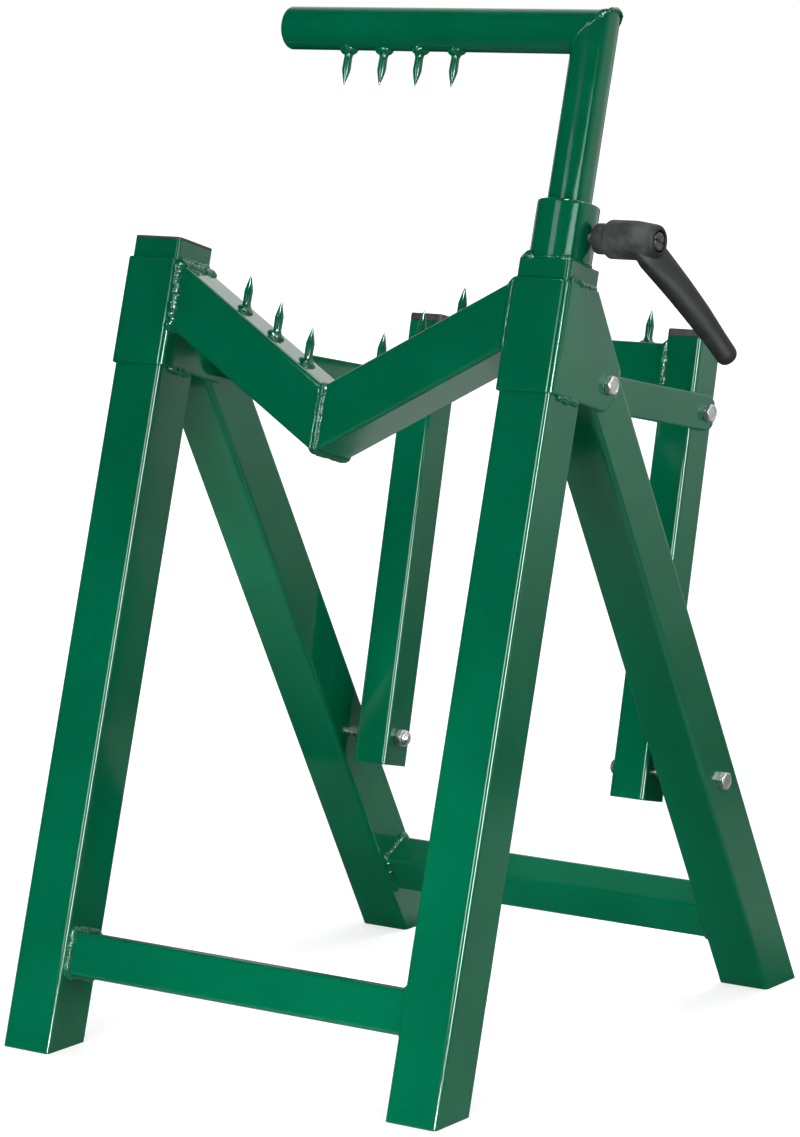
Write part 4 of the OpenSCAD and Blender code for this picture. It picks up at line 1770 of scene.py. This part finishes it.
@dataclass
class ClampArm:
    """The round post and bar of the clamp, with the spikes under the bar."""

    stance: Stance
    shop: Shop
    collar_top: float
    od: float = 39.0
    wall: float = 3.0
    rise: float = 153.0
    reach: float = 323.0
    depth: float = 250.0
    post_rim: float = 0.4
    bar_rim: float = 1.0
    spike_first: float = 141.0
    spike_pitch: float = 38.5
    spike_count: int = 4
    spike_root: float = 4.0
    spike: Spike = Spike(foot_bead=BeadSize(8.0, 2.6, lift=0.8))
    mitre_bead: BeadSize = BeadSize(5.5, 1.2, 0.9)

    @property
    def corner(self) -> Axes:
        """Frame where the axes of post and bar meet."""
        return self.stance.front.moved(self.stance.leg_x, 0, self.collar_top + self.rise)

    def build_tubes(self) -> None:
        """Post and bar, mitred together, and the guide at the post's foot."""
        c, section = self.corner, Section(self.od, self.od, None, self.wall)
        mitre, run = Plane(c.origin, unit(c.x - c.z)), c.along_x(-1)
        post = tube(section, c, c.level(-self.rise - self.depth), mitre, self.post_rim)
        self.shop.piece("arm_post_tube", post, Body.ARM, Slot.PAINT, "arm_post")
        bar = tube(section, run, mitre, run.level(self.reach), self.bar_rim)
        self.shop.piece("arm_bar_tube", bar, Body.ARM, Slot.PAINT, "arm_bar")
        self.shop.refinish("arm_guide", Slot.BLACK)

    def build_spikes(self) -> None:
        """Spikes under the bar, with their welds on its round underside."""
        bead, parts = Bead(Seed.ARM_SPIKES), []
        for k in range(self.spike_count):
            x = -self.spike_first - k * self.spike_pitch
            down = self.corner.moved(x, 0, -self.od / 2).upside_down()
            parts += [self.spike.rod(down, self.spike_root), self.spike.foot(bead, down, down)]
        self.shop.piece("arm_spike_row", joined(parts), Body.ARM, Slot.PAINT, "arm_spikes")

    def build_welds(self) -> None:
        """The seam of the mitre: an oval in the mitre plane."""
        c = self.corner
        turn = np.linspace(0, TAU, 120, endpoint=False)
        x, y = self.od / 2 * np.cos(turn), self.od / 2 * np.sin(turn)
        path = np.column_stack([x, y, x])
        bead = Bead(Seed.ARM_MITRE)
        seam = bead.along(c.at(path), c.aim(path), self.mitre_bead, closed=True)
        self.shop.piece("arm_weld_bead", seam, Body.ARM, Slot.PAINT, crease=Crease.WELD)

    def build(self) -> None:
        """Builds and dresses the whole sub-assembly."""
        self.build_tubes()
        self.build_spikes()
        self.build_welds()


# Clamp lever


@dataclass
class ClampLever:
    """The adjustable lever: stud, moulded handle, slotted screw and return spring."""

    stance: Stance
    shop: Shop
    leg_top: float
    up: float = 24.0
    base: float = 33.5
    neck_d: float = 27.0
    neck_len: float = 13.0
    hub_d: float = 34.0
    hub_end_d: float = 29.0
    hub_len: float = 50.0
    root: float = 17.0
    length: float = 130.0
    tilt: float = 28.2
    turn: float = 40.0
    end_r: float = 9.5
    arm_bow: float = 1.5
    arm_stops: tuple[float, ...] = (-4.0, 16.0, 30.0, 50.0, 80.0, 105.0)
    arm_side: tuple[float, ...] = (16.5, 16.6, 15.2, 13.4, 11.8, 10.0)
    arm_upper: tuple[float, ...] = (5.0, 6.5, 8.6, 10.4, 10.8, 9.9)
    arm_lower: tuple[float, ...] = (9.5, 15.0, 14.4, 13.2, 11.4, 9.9)
    dome_powers: Pair = (2.5, 0.45)
    screw_d: float = 16.0
    screw_h: float = 5.0
    screw_sink: float = 0.7
    slot_half: float = 1.0
    slot_deep: float = 1.7
    recess_d: float = 19.5
    recess_past: float = 14.0
    chamber_start: float = 28.0
    shank_d: float = 6.0
    shank_len: float = 34.0
    shank_play: float = 0.5
    shank_room: float = 6.5
    stud_d: float = 10.0
    stud_in: float = 6.0
    stud_start: float = 19.8
    stud_thread: float = 16.0
    spring_r: float = 6.9
    spring_wire: float = 1.2
    spring_turns: int = 6
    spring_gap: float = 0.2
    lift: float = 5.5
    voxel: float = 0.9
    fillet_passes: int = 7
    # how the hub's painted highlight and scuffing fade towards its ends and away from its surface
    highlight_fade_ends: float = 8.0
    highlight_fade_side: float = 4.0

    @property
    def axes(self) -> Axes:
        """Frame of the lever: z out along its axis, x down, y to the rear."""
        return self.stance.front.moved(self.stance.leg_x, 0, self.leg_top + self.up).along_x()

    @property
    def hub_end(self) -> float:
        """Outer end of the hub along the axis."""
        return self.base + self.neck_len + self.hub_len

    @property
    def screw_top(self) -> float:
        """Top of the screw's head along the axis."""
        return self.hub_end - self.screw_sink

    @property
    def chamber_floor(self) -> float:
        """Floor of the spring chamber along the axis."""
        return self.base + self.chamber_start

    def hub(self) -> Surface:
        """Neck and hub: a turned profile that narrows to its outer end.

        Returns:
            The closed surface.
        """
        foot, step, end = self.base, self.base + self.neck_len, self.hub_end
        neck, hub, crown = self.neck_d / 2, self.hub_d / 2, self.hub_end_d / 2
        neck_r, hub_r, crown_r = 2.5, 2.6, 4.0
        profile = np.concatenate([
            [(POLE, foot), (neck - 3.0, foot)], arc((neck - neck_r, foot + neck_r), neck_r, -80, 0),
            [(neck, step - 1.5), (neck + 0.6, step - 0.4)],
            arc((hub - hub_r, step + hub_r), hub_r, -80, 0), [(hub, step + 0.55 * self.hub_len)],
            arc((crown - crown_r, end - crown_r), crown_r, 12, 88), [(POLE, end)],
        ])
        return lathe(profile, self.axes, 72)

    def arm(self) -> Surface:
        """The handle: an oval section carried along a line that bows a little.

        The section's half sizes change along the line: flat at the root, where it leaves the hub
        below the screw, nearly round further out. The last stretch closes as a full dome.

        Returns:
            The closed surface.
        """
        tilt, turn = math.radians(self.tilt), math.radians(self.turn)
        level = math.cos(tilt)
        ahead = np.array([level * math.cos(turn), level * math.sin(turn), math.sin(tilt)])
        across = unit(np.cross(ahead, [0, 0, 1]))
        over = np.cross(across, ahead)
        dome = np.sin(np.linspace(0, math.pi / 2, 14))
        body = self.length - self.end_r
        straight = np.linspace(self.arm_stops[0], body, 44)
        t = np.concatenate([straight, body + self.end_r * dome[1:]])
        stops = (*self.arm_stops, self.length)
        tables = self.arm_side, self.arm_upper, self.arm_lower
        side, upper, lower = (np.interp(t, stops, (*table, self.end_r)) for table in tables)
        past = np.clip((t - body) / self.end_r, 0, 0.9995)
        inner, outer = self.dome_powers
        close = (1 - past ** inner) ** outer
        bow = self.arm_bow * np.sin(np.pi * np.clip(t / self.length, 0, 1))
        root = np.array([0, 0, self.hub_end - self.root])
        line = root + t[:, None] * ahead + bow[:, None] * over
        phi = np.arange(40) * TAU / 40
        tall = np.where(np.sin(phi) > 0, upper[:, None], lower[:, None]) * np.sin(phi)
        wide = side[:, None] * np.cos(phi)
        rows = line[:, None, :] + (wide * close[:, None])[..., None] * across
        return grid(self.axes.at(rows + (tall * close[:, None])[..., None] * over))

    def screw_recess(self) -> Surface:
        """The cutter of the spring chamber: a plug with a flared mouth that reaches past the hub.

        A narrower hole below the chamber lets the screw's shank through when the handle is lifted.

        Returns:
            The closed surface.
        """
        end, bore, hole = self.hub_end, self.recess_d / 2, self.shank_d / 2 + self.shank_play
        floor, past = self.chamber_floor, self.hub_end + self.recess_past
        foot = floor - self.shank_room
        profile = np.array([
            (POLE, foot), (hole, foot), (hole, floor), (bore, floor), (bore, end - 0.9),
            (bore + 1.4, end + 0.5), (bore + 3.0, past), (POLE, past),
        ])
        return lathe(profile, self.axes, 72)

    def build_handle(self) -> None:
        """Handle: hub and arm fused by a fine remesh, then smoothed so that the join is filleted."""
        blank = self.shop.mesh("lever_handle_grip", joined([self.hub(), self.arm()]))
        remesh = blank.modifiers.new("fuse", "REMESH")
        remesh.mode, remesh.voxel_size, remesh.use_smooth_shade = "VOXEL", self.voxel * MM, True
        smooth = blank.modifiers.new("fillet", "SMOOTH")
        smooth.factor, smooth.iterations = 0.5, self.fillet_passes
        plug = self.shop.mesh("screw_recess_plug", self.screw_recess())
        cut = blank.modifiers.new("recess", "BOOLEAN")
        cut.operation, cut.solver, cut.object = "DIFFERENCE", "EXACT", plug
        shaped = blank.evaluated_get(bpy.context.evaluated_depsgraph_get())
        solid = bpy.data.meshes.new_from_object(shaped)
        blank.modifiers.clear()
        blank.data = solid
        bpy.data.objects.remove(plug)
        self.shop.smooth(solid, Crease.LEVER)
        # marks where the hub's painted highlight and scuffing go
        self.wear(solid)
        self.shop.dress(blank, Body.HANDLE, Slot.LEVER, "lever_handle")

    def wear(self, solid: bpy.types.Mesh) -> None:
        """Marks the hub for its painted highlight and scuffing: full over its middle, and gone over a
        short stretch at its edges.

        The mark is the product of two clamped slopes, one along the axis and one out from it.

        Args:
            solid: the handle's mesh.
        """
        points = np.empty(3 * len(solid.vertices))
        solid.vertices.foreach_get("co", points)
        points = points.reshape(-1, 3) / MM - self.shop.shift - self.axes.origin
        along = points @ self.axes.z
        radius = np.hypot(points @ self.axes.x, points @ self.axes.y)
        middle, half = (self.base + self.hub_end) / 2, (self.hub_end - self.base) / 2
        inside = np.clip((half - np.abs(along - middle)) / self.highlight_fade_ends, 0.0, 1.0)
        near = np.clip((self.hub_d / 2 + self.highlight_fade_side - radius) / self.highlight_fade_side, 0.0, 1.0)
        # the "worn" attribute carries the hub's painted highlight and scuffing
        solid.attributes.new("worn", "FLOAT", "POINT").data.foreach_set("value", inside * near)

    def screw_surface(self) -> Surface:
        """The screw: a turned head with a shank, whose points across the slot are pressed in.

        Returns:
            The closed surface.
        """
        axes, top, r, shank = self.axes, self.screw_top, self.screw_d / 2, self.shank_d / 2
        under, soft, brow = top - self.screw_h, 0.3, 0.9
        profile = np.concatenate([
            [(shank, top - self.shank_len), (shank, under), (r - soft, under), (r, under + soft)],
            arc((r - brow, top - brow), brow, 0, 90),
            [(k, top) for k in (6.0, 5.0, 4.0, 3.0, 2.0, 1.0, POLE)],
        ])
        head = lathe(profile, axes, 96)
        local = (head.points - axes.origin) @ np.stack([axes.x, axes.y, axes.z], 1)
        in_slot = (np.abs(local[:, 0]) < self.slot_half) & (local[:, 2] > top - 1.0)
        head.points = head.points - np.where(in_slot, self.slot_deep, 0.0)[:, None] * axes.z
        return head

    def build_steel(self) -> None:
        """Screw with its slot, and the stud between collar and handle."""
        self.shop.piece(
            "lever_slotted_screw", self.screw_surface(), Body.STUD, Slot.DARK, "lever_screw",
            crease=Crease.HEX,
        )
        head = self.base + self.stud_in
        down = self.axes.moved(0, 0, head).upside_down()
        thread = Fastener(shank=self.stud_d)
        stud = thread.shank_surface(down, 0.0, head - self.stud_start, self.stud_thread)
        self.shop.piece("lever_stud_thread", stud, Body.STUD, Slot.DARK, "lever_insert")

    def build_spring(self) -> None:
        """Return spring: a round wire on a helix.

        The helix climbs evenly from the chamber's floor to the underside of the screw's head, and
        each section of the wire is a circle in the plane of the axis and the radius.
        """
        wire, gap = self.spring_wire / 2, self.spring_gap
        low, high = self.chamber_floor + gap, self.screw_top - self.screw_h - gap
        steps = 24 * self.spring_turns + 1
        turn = np.linspace(0.0, TAU * self.spring_turns, steps)[:, None]
        side = np.arange(10) * TAU / 10
        radius = self.spring_r + wire * np.cos(side)
        rise = np.linspace(low + wire, high - wire, steps)[:, None] + wire * np.sin(side)
        helix = np.stack([radius * np.cos(turn), radius * np.sin(turn), rise], -1)
        coil = grid(self.axes.at(helix))
        spring = self.shop.piece("lever_return_spring", coil, Body.STUD, Slot.ZINC, "lever_spring")
        anchor = (self.axes.at(np.array([0.0, 0.0, high])) + self.shop.shift) * MM
        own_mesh(spring)

    def build(self) -> None:
        """Builds and dresses the whole sub-assembly."""
        self.build_handle()
        self.build_steel()
        self.build_spring()


# Studio


def placement(right: Array, up: Array, back: Array, at: Array) -> list[list[float]]:
    """The world matrix of a camera or a lamp.

    Args:
        right: direction of its own x.
        up: direction of its own y.
        back: direction of its own z, away from what it faces.
        at: its place in metres.

    Returns:
        The matrix, column by column.
    """
    place = np.eye(4)
    place[:3, 0], place[:3, 1], place[:3, 2], place[:3, 3] = right, up, back, at
    return [list(row) for row in place.T]


def quad(name: str, corners: Sequence[Triple]) -> bpy.types.Object:
    """Puts a mesh with one four-sided face into the scene.

    Args:
        name: the object's name.
        corners: the four corners in metres.

    Returns:
        The object.
    """
    data = bpy.data.meshes.new(name)
    data.from_pydata(corners, [], [(0, 1, 2, 3)])
    return add_object(name, data)


@dataclass(frozen=True)
class Lamp:
    """A rectangular soft light that faces a point, in metres, watts and degrees of cone."""

    name: str
    at: Triple
    aim: Triple
    size: Pair
    watts: float
    beam: Beam
    spread: float = 180.0

    def build(self) -> None:
        """Puts the lamp into the scene, out of the camera's sight."""
        data = bpy.data.lights.new(self.name, "AREA")
        data.shape, data.energy, data.spread = "RECTANGLE", self.watts, math.radians(self.spread)
        data.size, data.size_y = self.size
        lamp = add_object(self.name, data)
        at = np.array(self.at, float)
        back = unit(at - np.array(self.aim, float))
        right = unit(np.cross([0, 0, 1], back))
        lamp.matrix_world = placement(right, np.cross(back, right), back, at)
        lamp.visible_camera = False
        lamp.visible_glossy = self.beam is not Beam.FILL
        lamp.visible_diffuse = self.beam is not Beam.MIRROR


# Soft boxes light the matt colour, and panels show as lines and glints in the gloss.
LAMPS = (
    Lamp("key_box", (0.1, -1.9, 0.2), (0, -0.1, 0.0), (1.2, 0.5), 5.7, Beam.FILL, 74.0),
    Lamp("high_box", (0.9, -2.2, 2.6), (0, 0, 0.6), (1.6, 1.2), 5.0, Beam.FILL),
    Lamp("rear_box", (0.05, -1.7, 0.4), (0, 0.35, 0.12), (0.3, 0.3), 0.18, Beam.FILL, 26.0),
    Lamp("bar_box", (0.0, -1.7, 1.7), (0, 0, 1.2), (0.8, 0.5), 1.4, Beam.FILL, 46.0),
    Lamp("top_box", (0.2, 0.6, 3.4), (0, 0, 0.4), (1.6, 1.6), 9.0, Beam.FILL),
    Lamp("side_box", (2.4, 0.3, 0.8), (0, 0, 0.4), (1.2, 1.2), 20.0, Beam.FILL),
    Lamp("left_box", (-2.4, 0.5, 0.8), (0, 0.1, 0.4), (1.2, 1.2), 13.0, Beam.FILL),
    Lamp("right_wall", (2.55, -1.65, 0.91), (0, 0, 0.91), (0.7, 1.18), 105.0, Beam.MIRROR),
    Lamp("right_top", (2.55, -1.65, 1.65), (0, 0, 1.65), (1.2, 0.3), 6.5, Beam.MIRROR),
    Lamp("front_wall", (-0.3, -3.0, 1.31), (0, 0, 1.31), (0.7, 1.08), 45.0, Beam.MIRROR),
    Lamp("front_top", (-0.3, -3.0, 2.065), (0, 0, 2.065), (1.1, 0.43), 3.8, Beam.MIRROR),
    Lamp("bead_glint", (1.7, -2.5, 0.35), (0, 0, 0.35), (0.25, 0.25), 60.0, Beam.MIRROR),
    Lamp("leg_fill", (-0.62, -0.35, 0.05), (-0.264, 0.1, 0.45), (0.2, 0.2), 0.2, Beam.FILL, 40.0),
    Lamp("foot_fill", (-0.05, -0.05, 0.06), (0.0, 0.3, 0.07), (0.3, 0.1), 0.04, Beam.FILL, 60.0),
    Lamp("foot_top", (0.0, 0.75, 0.5), (0.0, 0.3, 0.09), (0.3, 0.3), 0.55, Beam.FILL, 40.0),
    Lamp("weld_glint", (0.9, -1.5, 3.0), (0, 0, 0.5), (0.5, 0.5), 90.0, Beam.MIRROR),
    Lamp("sky_panel", (0.1, 2.0, 3.3), (0, 0, 0.6), (1.3, 1.3), 18.0, Beam.BOTH),
    Lamp("right_glint", (1.65, -1.05, 2.9), (0, 0, 0.6), (0.2, 0.2), 22.0, Beam.MIRROR),
    Lamp("rear_glint", (2.2, 0.4, 2.5), (0, 0, 0.6), (0.2, 0.2), 18.0, Beam.MIRROR),
    Lamp("left_glint", (-1.2, -2.4, 2.7), (0, 0, 0.6), (0.18, 0.18), 12.0, Beam.MIRROR),
)


@dataclass
class Studio:
    """Camera, lights, floor and backdrop, in metres apart from the camera's place."""

    shift: Array
    camera_at: Triple = (1991.6, -2689.8, 952.9)
    azimuth: float = 33.99
    elevation: float = 8.46
    roll: float = 0.32
    focal_px: float = 3923.5
    image_height: float = 1137.0
    sensor: float = 36.0
    view_end: float = 100.0
    backdrop: Triple = (0.25, 0.97, 0.0)
    backdrop_edge: Pair = (-0.05, 0.6)
    room_glow: Pair = (0.0, 1.0)
    soft_light: float = 0.5
    floor_half: float = 30.0
    floor_tone: float = 0.6
    floor_fade: Pair = (0.5, 4.0)
    floor_glow: Pair = (0.62, 0.88)
    floor_grade: tuple[Pair, ...] = (
        (0.0, 0.03), (0.2, 0.06), (0.5, 0.45), (0.9, 0.40), (1.3, 0.15), (1.8, 0.20), (2.7, 0.42),
        (4.4, 0.66), (8.0, 1.0),
    )
    floor_middle: Pair = (-0.05, 0.2)
    floor_side: Pair = (-0.78, -0.1)
    floor_spot: Pair = (-0.12, 0.39)
    spot_ramp: Ramp = (0.1, 0.165, 0.75, 0.0)
    card_x: Pair = (-0.52, -0.34)
    card_foot: Pair = (0.096, 0.02)
    card_head: Pair = (-0.132, 0.45)
    card_rise: Ramp = (0.03, 0.38, 0.0, 0.85)
    card_fade: Ramp = (-0.47, -0.4, 1.0, 0.55)
    lamps: tuple[Lamp, ...] = LAMPS

    def build_camera(self) -> None:
        """Camera at the photograph's place, angle and focal length."""
        a, e, r = (math.radians(v) for v in (self.azimuth, self.elevation, self.roll))
        back = np.array([math.sin(a) * math.cos(e), -math.cos(a) * math.cos(e), math.sin(e)])
        right = np.array([math.cos(a), math.sin(a), 0.0])
        up = np.cross(back, right)
        c, s = math.cos(r), math.sin(r)
        right, up = c * right + s * up, c * up - s * right
        data = bpy.data.cameras.new("photo_camera")
        data.sensor_fit, data.sensor_height = "VERTICAL", self.sensor
        data.lens = self.focal_px / self.image_height * self.sensor
        data.clip_end = self.view_end
        camera = add_object("photo_camera", data)
        at = (np.array(self.camera_at) + self.shift) * MM
        camera.matrix_world = placement(right, up, back, at)
        bpy.context.scene.camera = camera

    def floor_sheen(self, sheet: NodeSheet) -> Socket:
        """What the floor shows in reflections.

        It is graded by the distance from its middle, fades to nothing at the left, and has a pale
        round spot under the stand.

        Args:
            sheet: the floor's node sheet.

        Returns:
            The output that holds the strength of the glow.
        """
        graded = sheet.tree.nodes.new("ShaderNodeValToRGB")
        graded.color_ramp.interpolation = "EASE"
        stops, far = graded.color_ramp.elements, self.floor_grade[-1][0]
        for _ in self.floor_grade[2:]:
            stops.new(0.5)
        for stop, (place, glow) in zip(stops, self.floor_grade):
            stop.position, stop.color = place / far, (glow, glow, glow, 1.0)
        away = sheet.vector("DISTANCE", sheet.place, (*self.floor_middle, 0.0))
        sheet.feed(graded.inputs["Fac"], sheet.ramp(away, 0.0, far, 0.0, 1.0))
        across = sheet.vector("DOT_PRODUCT", sheet.place, (1.0, 0.0, 0.0))
        side = sheet.ramp(across, *self.floor_side, 0.0, 1.0)
        beside = sheet.vector("DISTANCE", sheet.place, (*self.floor_spot, 0.0))
        spot = sheet.ramp(beside, *self.spot_ramp)
        return sheet.maths("ADD", spot, sheet.maths("MULTIPLY", side, graded.outputs["Color"]))

    def build_floor(self) -> None:
        """A wide white floor that shows the object's soft shadow.

        To the camera it glows a little, so that it reads white. Reflections show its sheen alone.
        """
        w, tone = self.floor_half, self.floor_tone
        floor = quad("studio_floor", [(-w, -w, 0), (w, -w, 0), (w, w, 0), (-w, w, 0)])
        sheet = NodeSheet("studio_white")
        rays = sheet.tree.nodes.new("ShaderNodeLightPath").outputs
        mirrored, reach = rays["Is Glossy Ray"], sheet.vector("LENGTH", sheet.place)
        white = sheet.ramp(reach, *self.floor_fade, *self.floor_glow)
        seen = sheet.maths("MULTIPLY", rays["Is Camera Ray"], white)
        sheen = sheet.maths("MULTIPLY", mirrored, self.floor_sheen(sheet))
        sheet.surface(
            Base_Color=sheet.shade(mirrored, (tone, tone, tone), (0.0, 0.0, 0.0)), Roughness=0.9,
            Specular_IOR_Level=0.0, Emission_Color=(1.0, 1.0, 1.0, 1.0),
            Emission_Strength=sheet.maths("ADD", seen, sheen),
        )
        floor.data.materials.append(sheet.material)

    def build_card(self) -> None:
        """A grey card to the left of the stand that shows only in reflections.

        Its glow rises in a straight line with height and falls in a straight line to the right.
        """
        (left, right), foot, head = self.card_x, self.card_foot, self.card_head
        corners = [(left, *foot), (right, *foot), (right, *head), (left, *head)]
        card = quad("studio_card", corners)
        card.visible_camera = card.visible_diffuse = False
        card.visible_transmission = card.visible_shadow = False
        sheet = NodeSheet("studio_grey")
        height = sheet.vector("DOT_PRODUCT", sheet.place, (0.0, 0.0, 1.0))
        across = sheet.vector("DOT_PRODUCT", sheet.place, (1.0, 0.0, 0.0))
        rise, fade = sheet.ramp(height, *self.card_rise), sheet.ramp(across, *self.card_fade)
        sheet.surface(
            Base_Color=(0.0, 0.0, 0.0, 1.0), Roughness=1.0, Specular_IOR_Level=0.0,
            Emission_Color=(1.0, 1.0, 1.0, 1.0), Emission_Strength=sheet.maths("MULTIPLY", rise, fade),
        )
        card.data.materials.append(sheet.material)

    def build_world(self) -> None:
        """White to the camera; a pale backdrop behind and a dim room in front for reflections.

        The reflected room is a smooth step along a level direction that points at the backdrop,
        and plain soft light everywhere for matt surfaces.
        """
        world = bpy.data.worlds.new("studio_room")
        bpy.context.scene.world = world
        world.use_nodes = True
        tree = world.node_tree
        tree.nodes.clear()
        new, join = tree.nodes.new, tree.links.new
        path = new("ShaderNodeLightPath")
        toward = new("ShaderNodeVectorMath")
        toward.operation = "DOT_PRODUCT"
        toward.inputs[1].default_value = self.backdrop
        join(new("ShaderNodeTexCoord").outputs["Generated"], toward.inputs[0])
        step = new("ShaderNodeMapRange")
        step.interpolation_type = "SMOOTHSTEP"
        for k, number in enumerate((*self.backdrop_edge, *self.room_glow), 1):
            step.inputs[k].default_value = number
        join(toward.outputs["Value"], step.inputs[0])
        soft, room, white = (new("ShaderNodeBackground") for _ in range(3))
        for shade in (soft, room, white):
            shade.inputs["Color"].default_value = (1.0, 1.0, 1.0, 1.0)
        soft.inputs["Strength"].default_value = self.soft_light
        join(step.outputs[0], room.inputs["Strength"])
        white.inputs["Strength"].default_value = 1.0
        mixed = soft.outputs[0]
        rays = ("Is Glossy Ray", room), ("Is Camera Ray", white), ("Is Transmission Ray", white)
        for ray, shade in rays:
            mix = new("ShaderNodeMixShader")
            join(path.outputs[ray], mix.inputs[0])
            join(mixed, mix.inputs[1])
            join(shade.outputs[0], mix.inputs[2])
            mixed = mix.outputs[0]
        join(mixed, new("ShaderNodeOutputWorld").inputs["Surface"])

    def build(self) -> None:
        """Builds the studio."""
        self.build_camera()
        self.build_floor()
        self.build_card()
        self.build_world()
        for lamp in self.lamps:
            lamp.build()
        bpy.context.scene.view_settings.view_transform = "Standard"


# The whole


def drawing_shift(stance: Stance) -> Array:
    """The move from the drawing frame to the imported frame.

    Args:
        stance: the shared sizes.

    Returns:
        The move in millimetres.
    """
    left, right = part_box("front_leg_left"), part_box("front_leg_right")
    x = (left[0].x + right[1].x) / 2 / MM
    y = left[0].y / MM + stance.leg / 2 / math.cos(math.radians(stance.front_lean))
    return np.array([x, y, 0.0])


def main() -> None:
    """Builds the stand's looks and the studio around it."""
    logging.basicConfig(level=logging.INFO, format="%(name)s: %(message)s")
    stance = Stance()
    shift = drawing_shift(stance)
    shop = Shop(Finishes(), shift)
    front = FrontFrame(stance, shop)
    assemblies = (
        front,
        RearFrame(stance, shop),
        ClampArm(stance, shop, front.leg_top + front.collar_len),
        ClampLever(stance, shop, front.leg_top),
        Studio(shift),
    )
    for assembly in assemblies:
        assembly.build()


if __name__ == "__main__":
    main()
